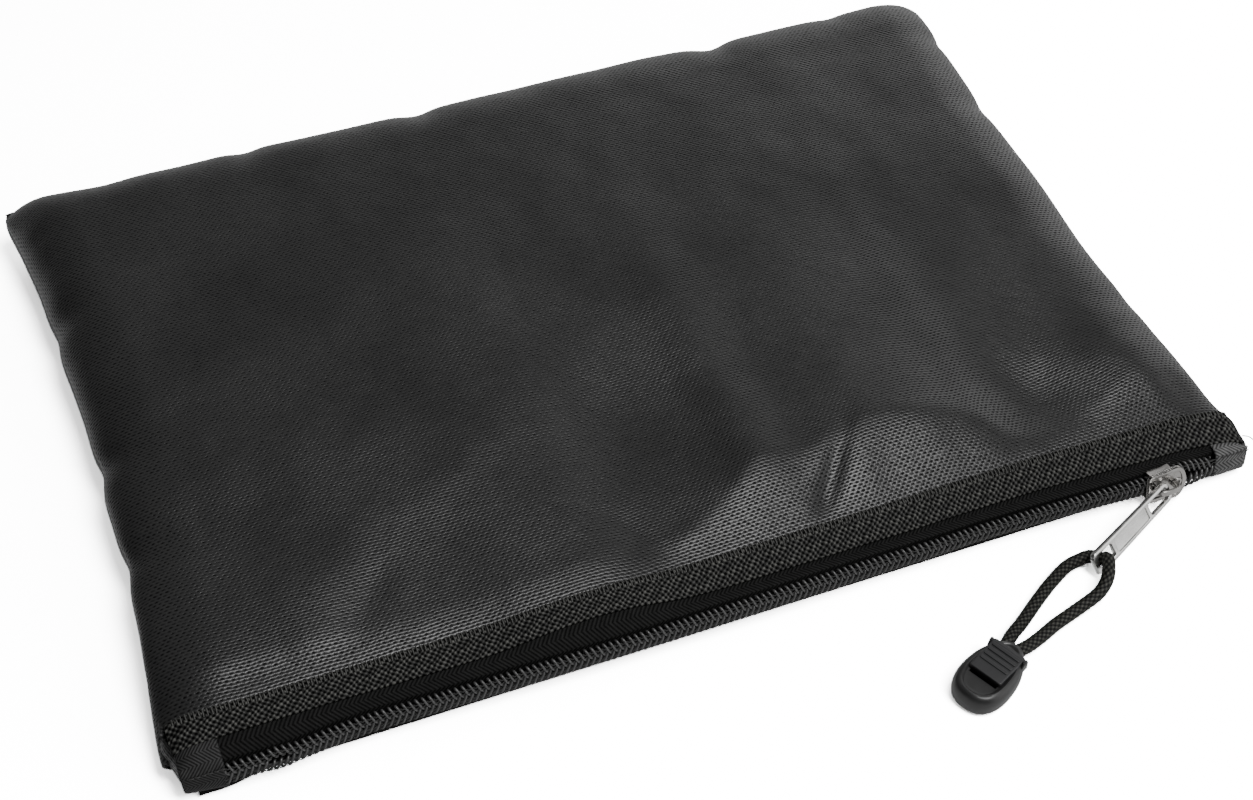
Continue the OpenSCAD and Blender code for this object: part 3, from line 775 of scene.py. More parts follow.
def relief(x, y):
    """Bulges, hollows and seam dents of the upper face."""
    z = 0
    for x0, y0, length, width, turn, height in BULGES:
        cos, sin = math.cos(math.radians(turn)), math.sin(math.radians(turn))
        along = (x - x0) * cos + (y - y0) * sin
        across = -(x - x0) * sin + (y - y0) * cos
        z = z + height * np.exp(-(along / length) ** 2 - (across / width) ** 2)
    inward = 91 - y
    for x0, depth in BACK_DENTS:
        lean = 0.25 * inward * (1 if x0 < 0 else -1)
        profile = np.exp(-((x - x0 - lean) / (3.2 + DENT_SPREAD * inward)) ** 2)
        z = z - depth * profile * np.exp(-inward / DENT_REACH)
    for side, dents in SIDE_DENTS.items():
        inward = 131 - side * x
        for y0, depth in dents:
            profile = np.exp(-((y - y0) / (3.0 + DENT_SPREAD * inward)) ** 2)
            z = z - depth * profile * np.exp(-np.maximum(inward, 0) / DENT_REACH)
    return z


def noise_field(x, y, size, seed):
    field = np.zeros(x.shape)
    steps = np.nditer([x, y], flags=["multi_index"])
    for a, b in steps:
        point = Vector((float(a) / size, float(b) / size, seed))
        field[steps.multi_index] = noise.noise(point)
    return field


# Plan grid: ACROSS is -1..1 left to right, BACKWARD 0..1 front to back, rows gathered
# near the seams.
COLUMNS, ROWS = 281, 175
MIDDLE = (COLUMNS // 2, ROWS // 2)


def gathered(steps, pull):
    return np.sin(steps * math.pi / 2 * pull) / math.sin(math.pi / 2 * pull)


ACROSS, BACKWARD = np.meshgrid(gathered(np.linspace(-1, 1, COLUMNS), 0.90),
                               gathered(np.linspace(0, 1, ROWS), 0.86), indexing="ij")


def plan():
    """x, y and the half width over the grid."""
    x = ACROSS * 131.0      # a first guess, to find the back edge there
    y = FRONT + (back_y(x) - FRONT) * BACKWARD
    half = np.where(ACROSS > 0, half_width(y, 1), half_width(y, -1))
    x = ACROSS * half
    return x, FRONT + (back_y(x) - FRONT) * BACKWARD, half


PLAN_X, PLAN_Y, PLAN_HALF = plan()
FROM_SIDE = (1 - np.abs(ACROSS)) * PLAN_HALF
FROM_BACK = (1 - BACKWARD) * (back_y(PLAN_X) - FRONT)
SEAM_HEIGHT = SEAM_Z - 6.3 * smooth(-PLAN_Y, 58, 90)


def top_height():
    """Upper face's z over the grid."""
    crown = 22.4 + 1.3 * (1 - (PLAN_X / 135) ** 2) * (1 - ((PLAN_Y - 5) / 95) ** 2)
    behind = PLAN_Y - table(PLAN_X, BINDING_Y)
    base = table(PLAN_X, BINDING_Z) - 0.85
    body = base + front_fall(PLAN_X, behind, crown - base)
    fade = smooth(behind, 0.0, 6.0)
    rumple = (noise_field(PLAN_X, PLAN_Y, 34.0, 3.1) * 0.55
              + noise_field(PLAN_X, PLAN_Y, 15.0, 7.7) * 0.24
              + noise_field(PLAN_X, PLAN_Y, 7.0, 1.9) * 0.09)
    body = body + (relief(PLAN_X, PLAN_Y) + rumple) * fade
    body = np.minimum(body, 23.95)
    edge = roll(FROM_SIDE, 16.0) * roll(FROM_BACK, 19.0)
    pucker = (gauss(FROM_SIDE, 9) * wobble(PLAN_Y, 4)
              + gauss(FROM_BACK, 9) * wobble(PLAN_X, 5)) * 0.35
    return SEAM_HEIGHT + (body - SEAM_HEIGHT) * edge + pucker * edge * fade


def low_height():
    """Lower face's z over the grid."""
    edge = roll(FROM_SIDE, 12.0) * roll(FROM_BACK, 12.0)
    lift = 1.3 * smooth(-PLAN_Y, 73, 81)
    base = 0.25 + lift + 0.35 * (1 - edge)
    pucker = 0.5 * gauss(FROM_SIDE, 6) * wobble(PLAN_Y, 6) \
        + 0.5 * gauss(FROM_BACK, 6) * wobble(PLAN_X, 7)
    return SEAM_HEIGHT - (SEAM_HEIGHT - base) * edge + pucker * edge * (1 - edge) * 2


def low_x(z):
    """Lower face's x: it bulges slightly past the side seams."""
    share = clamp((SEAM_HEIGHT - z) / np.maximum(SEAM_HEIGHT, 1))
    bulge = 1.0 * np.sin(math.pi * share) * gauss(FROM_SIDE, 8)
    return PLAN_X + np.sign(ACROSS) * bulge * smooth(PLAN_Y, -80, -60)


TOP = np.stack([PLAN_X, PLAN_Y, top_height()], axis=-1)
LOW_Z = low_height()
LOW = np.stack([low_x(LOW_Z), PLAN_Y, LOW_Z], axis=-1)

# The sewn groove: rows past the seam that turn into the pouch.
TURN_INSET = np.array([0, 0.55, 1.5, 2.6])
TURN_DROP = np.array([0, -0.28, -0.36, -0.2])
TURNS = len(TURN_INSET) - 1


def turn_in(face, up):
    """Adds the groove's rows at the sides and back of a face."""
    columns, rows = face.shape[:2]
    i = np.arange(columns + 2 * TURNS)[:, None]
    j = np.arange(rows + TURNS)[None, :]
    side_step = np.maximum(TURNS - i, i - (columns + TURNS - 1)).clip(0)
    back_step = (j - (rows - 1)).clip(0)
    grid = np.pad(face, ((TURNS, TURNS), (0, TURNS), (0, 0)), mode="edge")
    grid[..., 0] += TURN_INSET[side_step] * np.where(i < TURNS, 1, -1)
    grid[..., 1] -= TURN_INSET[back_step]
    grid[..., 2] += TURN_DROP[np.maximum(side_step, back_step)] * (1 if up else -1)
    return grid


def hinge_weight(x, y):
    """How far a point of the upper half follows the open mouth."""
    sideways = clamp(1 - ((x - 11) / 117.0) ** 2) ** 1.35
    forward = smooth(-y, -60, 40)
    return sideways * (0.15 + 0.85 * forward) * smooth(91 - y, 0, 40)


def surface_coords(grid):
    """Weave coordinates by arc length, so that the weave isn't stretched down the rolls."""
    along = np.linalg.norm(np.diff(grid, axis=0), axis=2)
    across = np.linalg.norm(np.diff(grid, axis=1), axis=2)
    columns, rows = grid.shape[:2]
    along = np.concatenate([np.zeros((1, rows)), np.cumsum(along, axis=0)], axis=0)
    across = np.concatenate([np.zeros((columns, 1)), np.cumsum(across, axis=1)], axis=1)
    along = along - along[columns // 2][None, :]
    across = across - across[:, rows // 3][:, None]
    return weave_grid(along, across, (columns, rows))


# --------------------------------------------------------------------------
# shells: outer skin, padding, lining
# --------------------------------------------------------------------------
SKIN = 0.55
PADDING_START, PADDING = 0.75, 2.5      # depth below the surface, full thickness
LINING_GAP, LINING_THICK = 0.1, 0.5
HEM_DEPTH = 0.62
SEAM_CLEAR = 0.25                       # padding and lining stay this far off the seam plane


def skin(tag, face, up):
    """Builds the outer skin; returns the face's normals."""
    turned = turn_in(face, up)
    normals = normals_of(turned, MIDDLE, (0, 0, 1 if up else -1))
    blend = hinge_weight(turned[..., 0], turned[..., 1]) if up else None
    slab(f"outer_panel_{tag}_fabric", turned, turned - normals * SKIN,
         surface_coords(turned), PANEL, blend)
    return normals[TURNS:-TURNS, :-TURNS]


def inside(tag, face, normals, up):
    """Padding and lining: a coarser grid, set in from the seams."""
    columns = np.arange(4, COLUMNS - 4, 3)
    rows = np.arange(6, ROWS - 4, 3)
    pick = np.ix_(columns, rows)

    def sunk(rows, depth):
        """Points below the surface, kept on their side of the seam."""
        at = np.ix_(columns, rows)
        unit = normals[at] / np.linalg.norm(normals[at], axis=2, keepdims=True)
        grid = face[at] - unit * depth[..., None]
        limit = SEAM_HEIGHT[at] + (SEAM_CLEAR if up else -SEAM_CLEAR)
        grid[..., 2] = (np.maximum if up else np.minimum)(grid[..., 2], limit)
        return grid

    points = face[pick]
    share = 0.35 + 0.65 * smooth(np.minimum(FROM_SIDE[pick], FROM_BACK[pick]), 3, 12)
    # thinner near the front edge, where the faces come together
    share = share * (0.45 + 0.55 * smooth(points[..., 1], -84, -66))
    pad_outer = np.full(share.shape, PADDING_START)
    pad_inner = PADDING_START + PADDING * share
    cloth_outer = pad_inner + LINING_GAP
    cloth_inner = cloth_outer + LINING_THICK
    blend = hinge_weight(points[..., 0], points[..., 1]) if up else None
    coords = surface_coords(face)[pick]
    slab(f"batting_{tag}_felt", sunk(rows, pad_outer), sunk(rows, pad_inner),
         coords, BATTING, blend)

    # the lining's front hem wraps round the padding's edge
    hem = np.full((len(columns), 1), HEM_DEPTH)

    def hemmed(row, depth):
        return np.concatenate([sunk([row], hem), sunk([row], depth[:, :1]), sunk(rows, depth)],
                              axis=1)

    coords = np.concatenate([coords[:, :1] - np.array([0, 3.0, 0]),
                             coords[:, :1] - np.array([0, 1.2, 0]), coords], axis=1)
    if up:
        blend = np.concatenate([blend[:, :1], blend[:, :1], blend], axis=1)
    slab(f"lining_{tag}_cloth", hemmed(5, cloth_outer), hemmed(4, cloth_inner),
         coords, LINING, blend)


top_normals = skin("top", TOP, True)
low_normals = skin("bottom", LOW, False)
inside("top", TOP, top_normals, True)
inside("bottom", LOW, low_normals, False)

# --------------------------------------------------------------------------
# front edge: binding, zipper tapes and chain
# --------------------------------------------------------------------------
SLIDER_X = 109.0
STRIP_STEPS = 5         # curve points per span of a strip's profile
TAPE_THICK = 0.40
CHAIN_PITCH = 1.5
KNUCKLE_PITCH = 1.45


def binding_tilt(x):
    """The binding's slope; it lies flatter on the left half."""
    return np.radians(13 + 10 * smooth(x, -30, 0))


def binding_width(x):
    steep = smooth(x, -30, 0)
    return table(x, BINDING_WIDTH) * (1.075 * (1 - steep) + steep)


def on_binding(x, down, out):
    """y, z at a distance down the binding from its upper line and out from it."""
    edge = roll(np.maximum(134.2 - np.abs(x), 0.0), 8.0)
    y = table(x, BINDING_Y)
    z = table(x, BINDING_Z) * edge + (1 - edge) * 8.8
    tilt = binding_tilt(x)
    return (y - down * np.cos(tilt) - out * np.sin(tilt),
            z - down * np.sin(tilt) + out * np.cos(tilt))


def on_chain(x, up, out):
    """y, z at a distance up across the chain from its middle line and out from it."""
    tilt = np.radians(table(x, CHAIN_TILT))
    return (table(x, CHAIN_Y) + up * np.cos(tilt) - out * np.sin(tilt),
            table(x, CHAIN_Z) + up * np.sin(tilt) + out * np.cos(tilt))


def strip(xs, controls):
    """Grid of smooth cross sections; controls(x) gives a section's (y, z) points."""
    return np.array([[(x, *point) for point in catmull(controls(x), STRIP_STEPS)] for x in xs])


def strip_coords(grid, row):
    return weave_grid(grid[..., 0], lengths(grid[row]), grid.shape[:2])


def stitch(point_at, count, radius, up):
    return tube([point_at(t) for t in np.linspace(0, 1, count)], radius, 6, up)


def upper_binding():
    """Webbing on the slope, its knuckles modelled."""
    rows, thick = 5.0, 0.55     # rows of knuckles across the tape
    x, share = np.meshgrid(np.linspace(-132.4, 134.3, 1400), np.linspace(0, 1, 46),
                           indexing="ij")
    width = binding_width(x)
    down = share * width
    # the yarns wander
    stagger = 0.16 * np.sin(x * 0.21) + 0.10 * np.sin(x * 0.53 + 1)
    drift = 0.15 * np.sin(down * 2.1 + x * 0.3) + 0.10 * np.sin(x * 1.7 + down * 1.1)
    column = (x + drift + 0.10 * down) / KNUCKLE_PITCH
    row = share * rows + stagger * 0.3
    along = np.cos(2 * math.pi * column) * 0.5 + 0.5
    across = np.cos(2 * math.pi * row) * 0.5 + 0.5
    # two interleaved sets of knuckles, each knuckle with a height of its own
    even = (along * across) ** 0.95
    odd = ((1 - along) * (1 - across)) ** 0.95
    even_size = 1 + 0.5 * np.sin(np.floor(column) * 12.9898 + np.floor(row + 0.5) * 78.233)
    odd_size = 1 + 0.5 * np.sin(np.floor(column + 0.5) * 39.425 + np.floor(row) * 51.71)
    height = 0.34 * even * even_size + 0.32 * odd * odd_size
    inner = smooth(down, 0, 0.45) * smooth(width - down, 0, 0.45)
    height = height * inner + 0.10 * (1 - inner) * along
    arch = np.sin(math.pi * share)
    height = height + (0.15 * wobble(x, 11) * arch + 0.30 * arch)
    # the right end is cut back along a slant
    cut_x = x - 2.2 * smooth(x, 131.0, 134.3) * (1 - share)
    outer = np.stack([cut_x, *on_binding(x, down, height)], axis=-1)
    under = np.stack([cut_x, *on_binding(x, down, -thick)], axis=-1)
    # knuckle tops painted lighter than the grooves: painted highlight and painted shade
    light = np.clip(even * (0.6 + 0.4 * even_size) + odd * (0.5 + 0.4 * odd_size), 0, 1)
    slab("binding_tape_upper_weave", outer, under, weave_grid(x, down, x.shape, light),
         BINDING, hinge_weight(x, outer[..., 1]))


def upper_stitches():
    """Ladder stitches along the binding's upper line."""
    parts = []
    for i, x in enumerate(np.arange(-130.6, 130.6, 0.95)):
        lean = 0.10 * math.sin(i * 2.3) + 0.10

        def point(t):
            arch = 0.14 + 0.44 * math.sin(math.pi * t)
            return (x + lean * t, *on_binding(x + lean * t, -0.12 + 1.75 * t, arch))

        parts.append(stitch(point, 6, 0.19, (1, 0, 0)))
    threads("binding_stitches_upper_thread", parts, EDGE_THREAD, hinged=True)


def lower_binding():
    """Webbing under the front edge."""
    row_pitch = 1.32
    x, across = np.meshgrid(np.linspace(-129.4, 130.6, 740), np.linspace(0, 7.9, 26),
                            indexing="ij")
    column_wave = np.cos(2 * math.pi * (x / KNUCKLE_PITCH)) * 0.5 + 0.5
    row_wave = np.cos(2 * math.pi * (across / row_pitch)) * 0.5 + 0.5
    knuckle = (column_wave * row_wave) ** 0.8
    y = -80.0 - across
    # the knuckle value also paints the knuckles lighter and the grooves darker: painted highlight and
    # painted shade
    slab("binding_tape_lower_weave", np.stack([x, y, 0.30 - 0.24 * knuckle], axis=-1),
         np.stack([x, y, np.full(x.shape, 0.66)], axis=-1),
         weave_grid(x, across, x.shape, knuckle), BINDING)


def lower_stitches():
    parts = []
    for x in np.arange(-128.6, 129.6, 1.9):
        def point(t):
            return x + 0.1 * t, -79.6 - 1.7 * t, 0.23 - 0.12 * math.sin(math.pi * t)

        parts.append(stitch(point, 5, 0.12, (1, 0, 0)))
    threads("binding_stitches_lower_thread", parts, THREAD)


def far_stop(x):
    """Near 1 beside the stop at the chain's left end."""
    return smooth(x, -114.4, -112.7) * (1 - smooth(x, -109.4, -107.4))


def spread(x):
    """How far each half of the chain stands off the middle line."""
    at_slider = (smooth(x, SLIDER_X - 0.2, SLIDER_X + 2.4)
                 * (1 - 0.7 * smooth(x, SLIDER_X + 6, SLIDER_X + 13)))
    return 1.25 * at_slider + 0.36 * far_stop(x)


TAPE_XS = np.linspace(-129, 130, 520)


def upper_tape():
    def controls(x):
        width = float(binding_width(x))
        edge = on_binding(x, width - 0.4, -0.70)
        chain = on_chain(x, 3.1, -0.95)
        # slightly sagging band between binding and chain
        middle = ((edge[0] + chain[0]) / 2 + 0.12 * float(wobble(x, 13)),
                  (edge[1] + chain[1]) / 2)
        return [on_binding(x, width - 5.0, -0.75), on_binding(x, width - 2.6, -0.75), edge,
                middle, chain, on_chain(x, 2.0, -0.95), on_chain(x, 0.75, -0.95)]

    grid = strip(TAPE_XS, controls)
    normals = normals_of(grid, (260, 3), (0, 0, 1))
    slab("zipper_tape_upper_cloth", grid, grid - normals * TAPE_THICK,
         strip_coords(grid, 100), TAPE, hinge_weight(grid[..., 0], grid[..., 1]))


def lower_tape():
    def controls(x):
        end = smooth(-x, 112, 124)      # it shows below the chain at the left end only
        drop = 0.6 * np.maximum(end, far_stop(x))
        return [on_chain(x, -0.75, -0.95), on_chain(x, -1.9, -0.95),
                on_chain(x, -2.7 - drop, -1.05), (-92.3 - 1.5 * end, 1.1 - 0.2 * end),
                (-90.8 - 0.6 * end, 0.80), (-86.5, 0.80), (-80.5, 0.80)]

    grid = strip(TAPE_XS, controls)
    normals = normals_of(grid, (260, -4), (0, 0, -1))
    slab("zipper_tape_lower_cloth", grid, grid - normals * TAPE_THICK,
         strip_coords(grid, 100), TAPE)


HALVES = (("upper", 1), ("lower", -1))      # the chain's halves and their side of its middle


def coil(tag, side):
    """Flattened helix; its heads meet past the middle line."""
    turns, per_turn = 164, 14
    start = -123.1 + (0.0 if side > 0 else CHAIN_PITCH / 2)
    turn = np.arange(turns * per_turn + 1) / per_turn
    phase = 2 * math.pi * turn
    x = start + CHAIN_PITCH * turn - 0.46 * np.cos(phase)
    up = 1.02 + 1.40 * np.cos(phase)
    up = side * (up + 0.50 * far_stop(x) * (1 - np.cos(phase)) / 2 + spread(x))
    path = np.stack([x, *on_chain(x, up, 0.20 + 0.70 * np.sin(phase))], axis=-1)
    threads(f"coil_{tag}_helix", [tube(path, 0.315, 7, (1, 0, 0))], COIL, side > 0)


def coil_core(tag, side):
    """Filler cord inside the coil."""
    x = np.linspace(-123.2, 123.8, 250)
    path = np.stack([x, *on_chain(x, side * (1.1 + spread(x)), 0.18)], axis=-1)
    threads(f"coil_cord_{tag}_core", [tube(path, 0.26, 8, (0, 1, 0))], FILLER, side > 0)


def coil_stitches(tag, side):
    """Lock stitch that holds the coil on its tape."""
    x = np.arange(-123.2, 124.2, 0.25)
    shift = 0 if side > 0 else 0.75
    out = 1.06 + 0.17 * np.cos(2 * math.pi * (x + 125.6 - shift - 0.35) / CHAIN_PITCH)
    parts = []
    for row in (0.95, 1.85):
        path = np.stack([x, *on_chain(x, side * (row + spread(x)), out)], axis=-1)
        parts.append(tube(path, 0.12, 5, (0, 1, 0)))
    threads(f"coil_stitches_{tag}", parts, THREAD, side > 0)


upper_binding()
upper_stitches()
lower_binding()
lower_stitches()
upper_tape()
lower_tape()
for build in (coil, coil_core, coil_stitches):
    for tag, side in HALVES:
        build(tag, side)


# --------------------------------------------------------------------------
# zipper ends: folded tabs, corner folds, stitches
# --------------------------------------------------------------------------
def end_tab(name, x_start, x_end, material, bulge, skew):
    """Folded tab over one end of the zipper; returns its edge facing the pouch's side."""
    left = x_start < 0

    def controls(x):
        puff = bulge * math.sin(math.pi * ((x - x_start) / (x_end - x_start)))
        width = float(binding_width(x))
        edge = on_binding(x, width, 0.0)
        above = on_chain(x, 3.6, 0.75)
        return [on_binding(x, width - 0.6, -0.55), on_binding(x, width + 0.2, -0.15),
                ((edge[0] + above[0]) / 2 - 0.3, (edge[1] + above[1]) / 2 + puff * 0.3),
                on_chain(x, 3.3, 0.95 + 0.4 * puff), on_chain(x, 2.4, 1.15 + puff),
                on_chain(x, 0.9, 1.15 + puff), on_chain(x, -1.2, 1.05 + puff),
                on_chain(x, -2.6, 0.85 + 0.6 * puff), on_chain(x, -3.7, 0.1),
                (-92.3, 0.55), (-90.8, 0.25), (-86.5, 0.2)]

    grid = strip(np.linspace(x_start, x_end, 42), controls)
    columns, rows = grid.shape[:2]
    down = np.linspace(0, 1, rows)[None, :]
    grid[..., 0] += skew * (down - 0.3)     # its cut ends are skewed a little
    if left:
        tuck = smooth(down, 0.45, 1.0) * (1 - np.linspace(0, 1, columns))[:, None]
        grid[..., 1] += 3.4 * tuck
        grid[..., 0] += 1.0 * tuck
    side_edge = (grid[0] if left else grid[-1]).copy()
    normals = normals_of(grid, (20, 20), (0, -1, 0))
    rounding = np.zeros(columns)
    rounding[[0, -1]] = 0.22
    rounding[[1, -2]] = 0.08
    slab(name, grid - normals * rounding[:, None, None], grid - normals * 0.62,
         strip_coords(grid, 10), material)
    return side_edge


def corner_fold(name, side, tab_edge):
    """The panel's corner, folded round from the side and tucked under the tab."""
    rows = 15
    t = np.linspace(0, 1, rows)[:, None]
    edge = tab_edge[2:-1]
    z = np.clip(edge[:, 2] * 0.93 + 0.2, 0.35, 12.2)
    seam_x = float(half_width(np.array(-78.0), side))
    far = np.stack([side * (seam_x - 0.5 - 4.6 * np.abs((z - 6.0) / 6.3) ** 2.2),
                    np.full(len(edge), -77.5), z], axis=-1)
    near = edge - np.array([side * 0.9, 0, 0]) + np.array([0, 0.5, 0])
    belly = np.clip(1 - np.abs((near[:, 2] - 6.2) / 6.4) ** 2, 0, 1)[None]
    grid = near[None] * (1 - t[..., None]) + far[None] * t[..., None]
    crease = 0.35 * np.sin(t * 9.0 + near[:, 2][None] * 0.35)
    arch = np.sin(math.pi * t)
    grid[..., 0] += side * (1.5 * arch * belly + crease * arch * belly)
    grid[..., 2] = np.maximum(grid[..., 2], 0.3)
    normals = normals_of(grid, (rows // 2, len(edge) // 2), (side, 0, 0))
    coords = weave_grid(t * 16.0, lengths(grid[rows // 2]), grid.shape[:2])
    slab(name, grid, grid - normals * 0.6, coords, PANEL)


def tab_stitches():
    parts = []
    for start in (-130.3, 125.0):
        for i in range(6):
            x = start + i * 1.35

            def point(t):
                arch = 1.45 + 0.22 * math.sin(math.pi * t)
                return (x + 0.9 * t, *on_chain(x + 0.9 * t, 2.6, arch))

            parts.append(stitch(point, 6, 0.15, (0, 1, 0)))
    # loose thread tail at the right corner
    tail = [(133.2, -90.2, 9.1), (134.6, -91.0, 9.0), (135.6, -91.9, 8.3), (136.3, -92.6, 7.6)]
    parts.append(tube(catmull(tail, 6), 0.17, 6))
    threads("end_tab_stitches_thread", parts, THREAD)


left_edge = end_tab("end_tab_left_twill", -132.2, -122.6, TAB_LEFT, bulge=0.30, skew=0.5)
right_edge = end_tab("end_tab_right_twill", 123.7, 132.9, TAB_RIGHT, bulge=0.35, skew=-1.0)
corner_fold("corner_fold_left_cloth", -1, left_edge)
corner_fold("corner_fold_right_cloth", 1, right_edge)
tab_stitches()

# --------------------------------------------------------------------------
# bound seam allowances inside
# --------------------------------------------------------------------------
ALLOWANCE = 7.0
STEPS = np.arange(9)[None, :]               # points across an allowance
OUTWARD = ALLOWANCE * STEPS / 8


def seam_strip(name, x, y, phase):
    """Rippled band just under the seam's height."""
    ripple = SEAM_Z - 0.35 + 0.15 * np.sin(phase + STEPS)
    shape = ripple.shape
    grid = weave_grid(x, y, shape, ripple)
    coords = weave_grid(np.arange(shape[0])[:, None] * 1.6, STEPS * 0.9, shape)
    slab(name, grid, grid - np.array([0, 0, 1.2]), coords, SEAM)


def seam_strips():
    y = -54 + 128 * (np.arange(90)[:, None] / 89)
    for tag, side in (("left", -1), ("right", 1)):
        seam_strip(f"seam_binding_{tag}_tape", side * (117.2 + OUTWARD), y, y * 0.8)
    t = np.arange(150)[:, None] / 149
    seam_strip("seam_binding_back_tape", -112 + 224 * t, 78.6 + OUTWARD, t * 150)


seam_strips()

# --------------------------------------------------------------------------
# slider: x along the chain, y up across it, z out from it
# --------------------------------------------------------------------------
SLIDER_TILT = math.radians(75)
SLIDER_FRAME = axes((1, 0, 0), (0, math.cos(SLIDER_TILT), math.sin(SLIDER_TILT)),
                    (0, -math.sin(SLIDER_TILT), math.cos(SLIDER_TILT)), (SLIDER_X, -93.2, 5.5))
# Bridge's side outline: x, height out from the chain.
BRIDGE = [
    (-3.7, 2.0), (-3.72, 3.9), (-3.4, 4.75), (-2.7, 5.25), (-1.6, 5.42), (0.4, 5.42),
    (1.6, 5.2), (2.4, 4.6), (2.75, 3.7), (2.85, 2.0), (1.45, 2.0), (1.35, 3.9), (0.9, 4.45),
    (0.2, 4.66), (-1.4, 4.66), (-2.2, 4.5), (-2.65, 4.1), (-2.75, 2.0)]
# Upper flange's outline: x, y.
FLANGE = [(-4.5, 3.05), (-0.5, 3.05), (0.9, 3.45), (1.5, 3.7), (1.5, 4.2), (0.9, 4.1),
          (-0.5, 3.72), (-4.5, 3.72)]
POST = [(3.3, 0), (3.8, -0.1), (4.5, -0.1), (4.8, 0), (4.5, 0.1), (3.8, 0.1)]


def blade(tail, nose, inset=0.0):
    """Blade's outline from half widths at its tail and nose."""
    upper = ([(-4.9 + inset, tail - 1.1 - inset)] + arc(-3.9, tail - 1.0, 1.0 - inset, 180, 90, 5)
             + [(-1.0, tail - inset), (1.2, nose - 0.15 - inset)])
    tip = [(2.2 + (2.9 - inset) * math.cos(a) ** 0.9, (nose - inset) * math.sin(a))
           for a in map(math.radians, np.linspace(82, -82, 22))]
    return upper + tip + [(x, -y) for x, y in reversed(upper)]


def slider():
    rim = blade(3.75, 4.3)
    recess = blade(3.75, 4.3, 0.75)
    dimple = [arc(3.2, 0, 1.1, 0, 330, 16), arc(3.2, 0, 0.5, 330, 0, 12)]
    parts = [plate([rim], 0.75, 1.35, 0.18),
             plate([rim, recess[::-1]], 0.62, 1.85, 0.22),
             plate(dimple, 0.45, 1.95, 0.15),
             plate([blade(3.4, 3.5)], 0.8, -2.15, 0.2),
             plate([[(x, -y) for x, y in reversed(FLANGE)]], 2.2, -0.6, 0.14),
             plate([FLANGE], 2.2, -0.6, 0.14),
             plate([POST], 3.4, -1.7, 0.08)]
    # the bridge is drawn flat and turned up
    verts, faces = plate([BRIDGE[::-1]], 1.45, -0.725, 0.25)
    parts.append((np.stack([verts[:, 0], -verts[:, 2], verts[:, 1]], axis=-1), faces))
    verts, faces = join(parts)
    ob = make_mesh("slider_body_cast", to_frame(verts, SLIDER_FRAME), faces, material=SLIDER)
    clean(ob, merge=0.00002)
    sharpen(ob, 40)


slider()

# --------------------------------------------------------------------------
# pull: x from the slider's joint to the cord's joint
# --------------------------------------------------------------------------
JOINTS = {joint["name"]: joint for joint in frame["record"]["behaviour"]["joints"]}
PULL_JOINT = np.array(JOINTS["pull_swing"]["pos_m"]) * 1000
CORD_JOINT = np.array(JOINTS["cord_swing"]["pos_m"]) * 1000
PULL_AXIS = np.array(JOINTS["pull_swing"]["axis"], float)
PULL_AXIS /= np.linalg.norm(PULL_AXIS)
PULL_WAY = CORD_JOINT - PULL_JOINT
PULL_WAY /= np.linalg.norm(PULL_WAY)
PULL_FACE = np.cross(PULL_AXIS, PULL_WAY)
PULL_FRAME = axes(PULL_WAY, -PULL_AXIS, PULL_FACE, PULL_JOINT)
PULL_LENGTH = 29.6
PULL_HALF = 2.65


def crossbar(x, z, half, points, radius, sides):
    """Round bar across a local frame at x, z."""
    path = np.stack([np.full(points, x), np.linspace(-half, half, points),
                     np.full(points, z)], axis=-1)
    return tube(path, radius, sides)


def pull():
    end, side = PULL_LENGTH, PULL_HALF * 0.985
    outline = (arc(1.4, -(PULL_HALF - 1.7), 1.7, 200, 270, 5) + [(9.0, -side), (20, -side)]
               + arc(end - 1.5, -(PULL_HALF - 1.9), 1.9, 270, 340, 5)
               + arc(end - 1.5, PULL_HALF - 1.9, 1.9, 20, 90, 5) + [(20, side), (9.0, side)]
               + arc(1.4, PULL_HALF - 1.7, 1.7, 90, 160, 5))
    slider_window = rounded_rect(0.75, 7.9, 1.65, 0.5, 5)[::-1]
    cord_window = [
        (end - 6.7, -1.25), (end - 6.3, -1.66), (end - 2.0, -1.66), (end - 1.1, -0.9),
        (end - 1.1, 0.9), (end - 2.0, 1.66), (end - 6.3, 1.66), (end - 6.7, 1.25)][::-1]
    recess = rounded_rect(9.0, end - 7.8, 1.72, 0.5, 5)[::-1]
    core = [outline, slider_window, cord_window]
    # core plate, raised rims on both faces, round bars at both ends
    parts = [plate(core, 0.8, -0.4, 0.12),
             plate(core + [recess], 0.42, 0.22, 0.17),
             plate(core + [recess], 0.42, -0.64, 0.17)]
    parts += [crossbar(x, 0.0, 1.9, 13, 0.6, 14) for x in (0.0, end - 0.1)]
    verts, faces = join(parts)
    # a little wider towards the cord
    verts[:, 1] *= 0.95 + 0.21 * np.clip(verts[:, 0] / end, 0, 1)
    ob = make_mesh("pull_tab_stamped", to_frame(verts, PULL_FRAME), faces, material=PULL)
    clean(ob, merge=0.00001)
    sharpen(ob, 38)


pull()

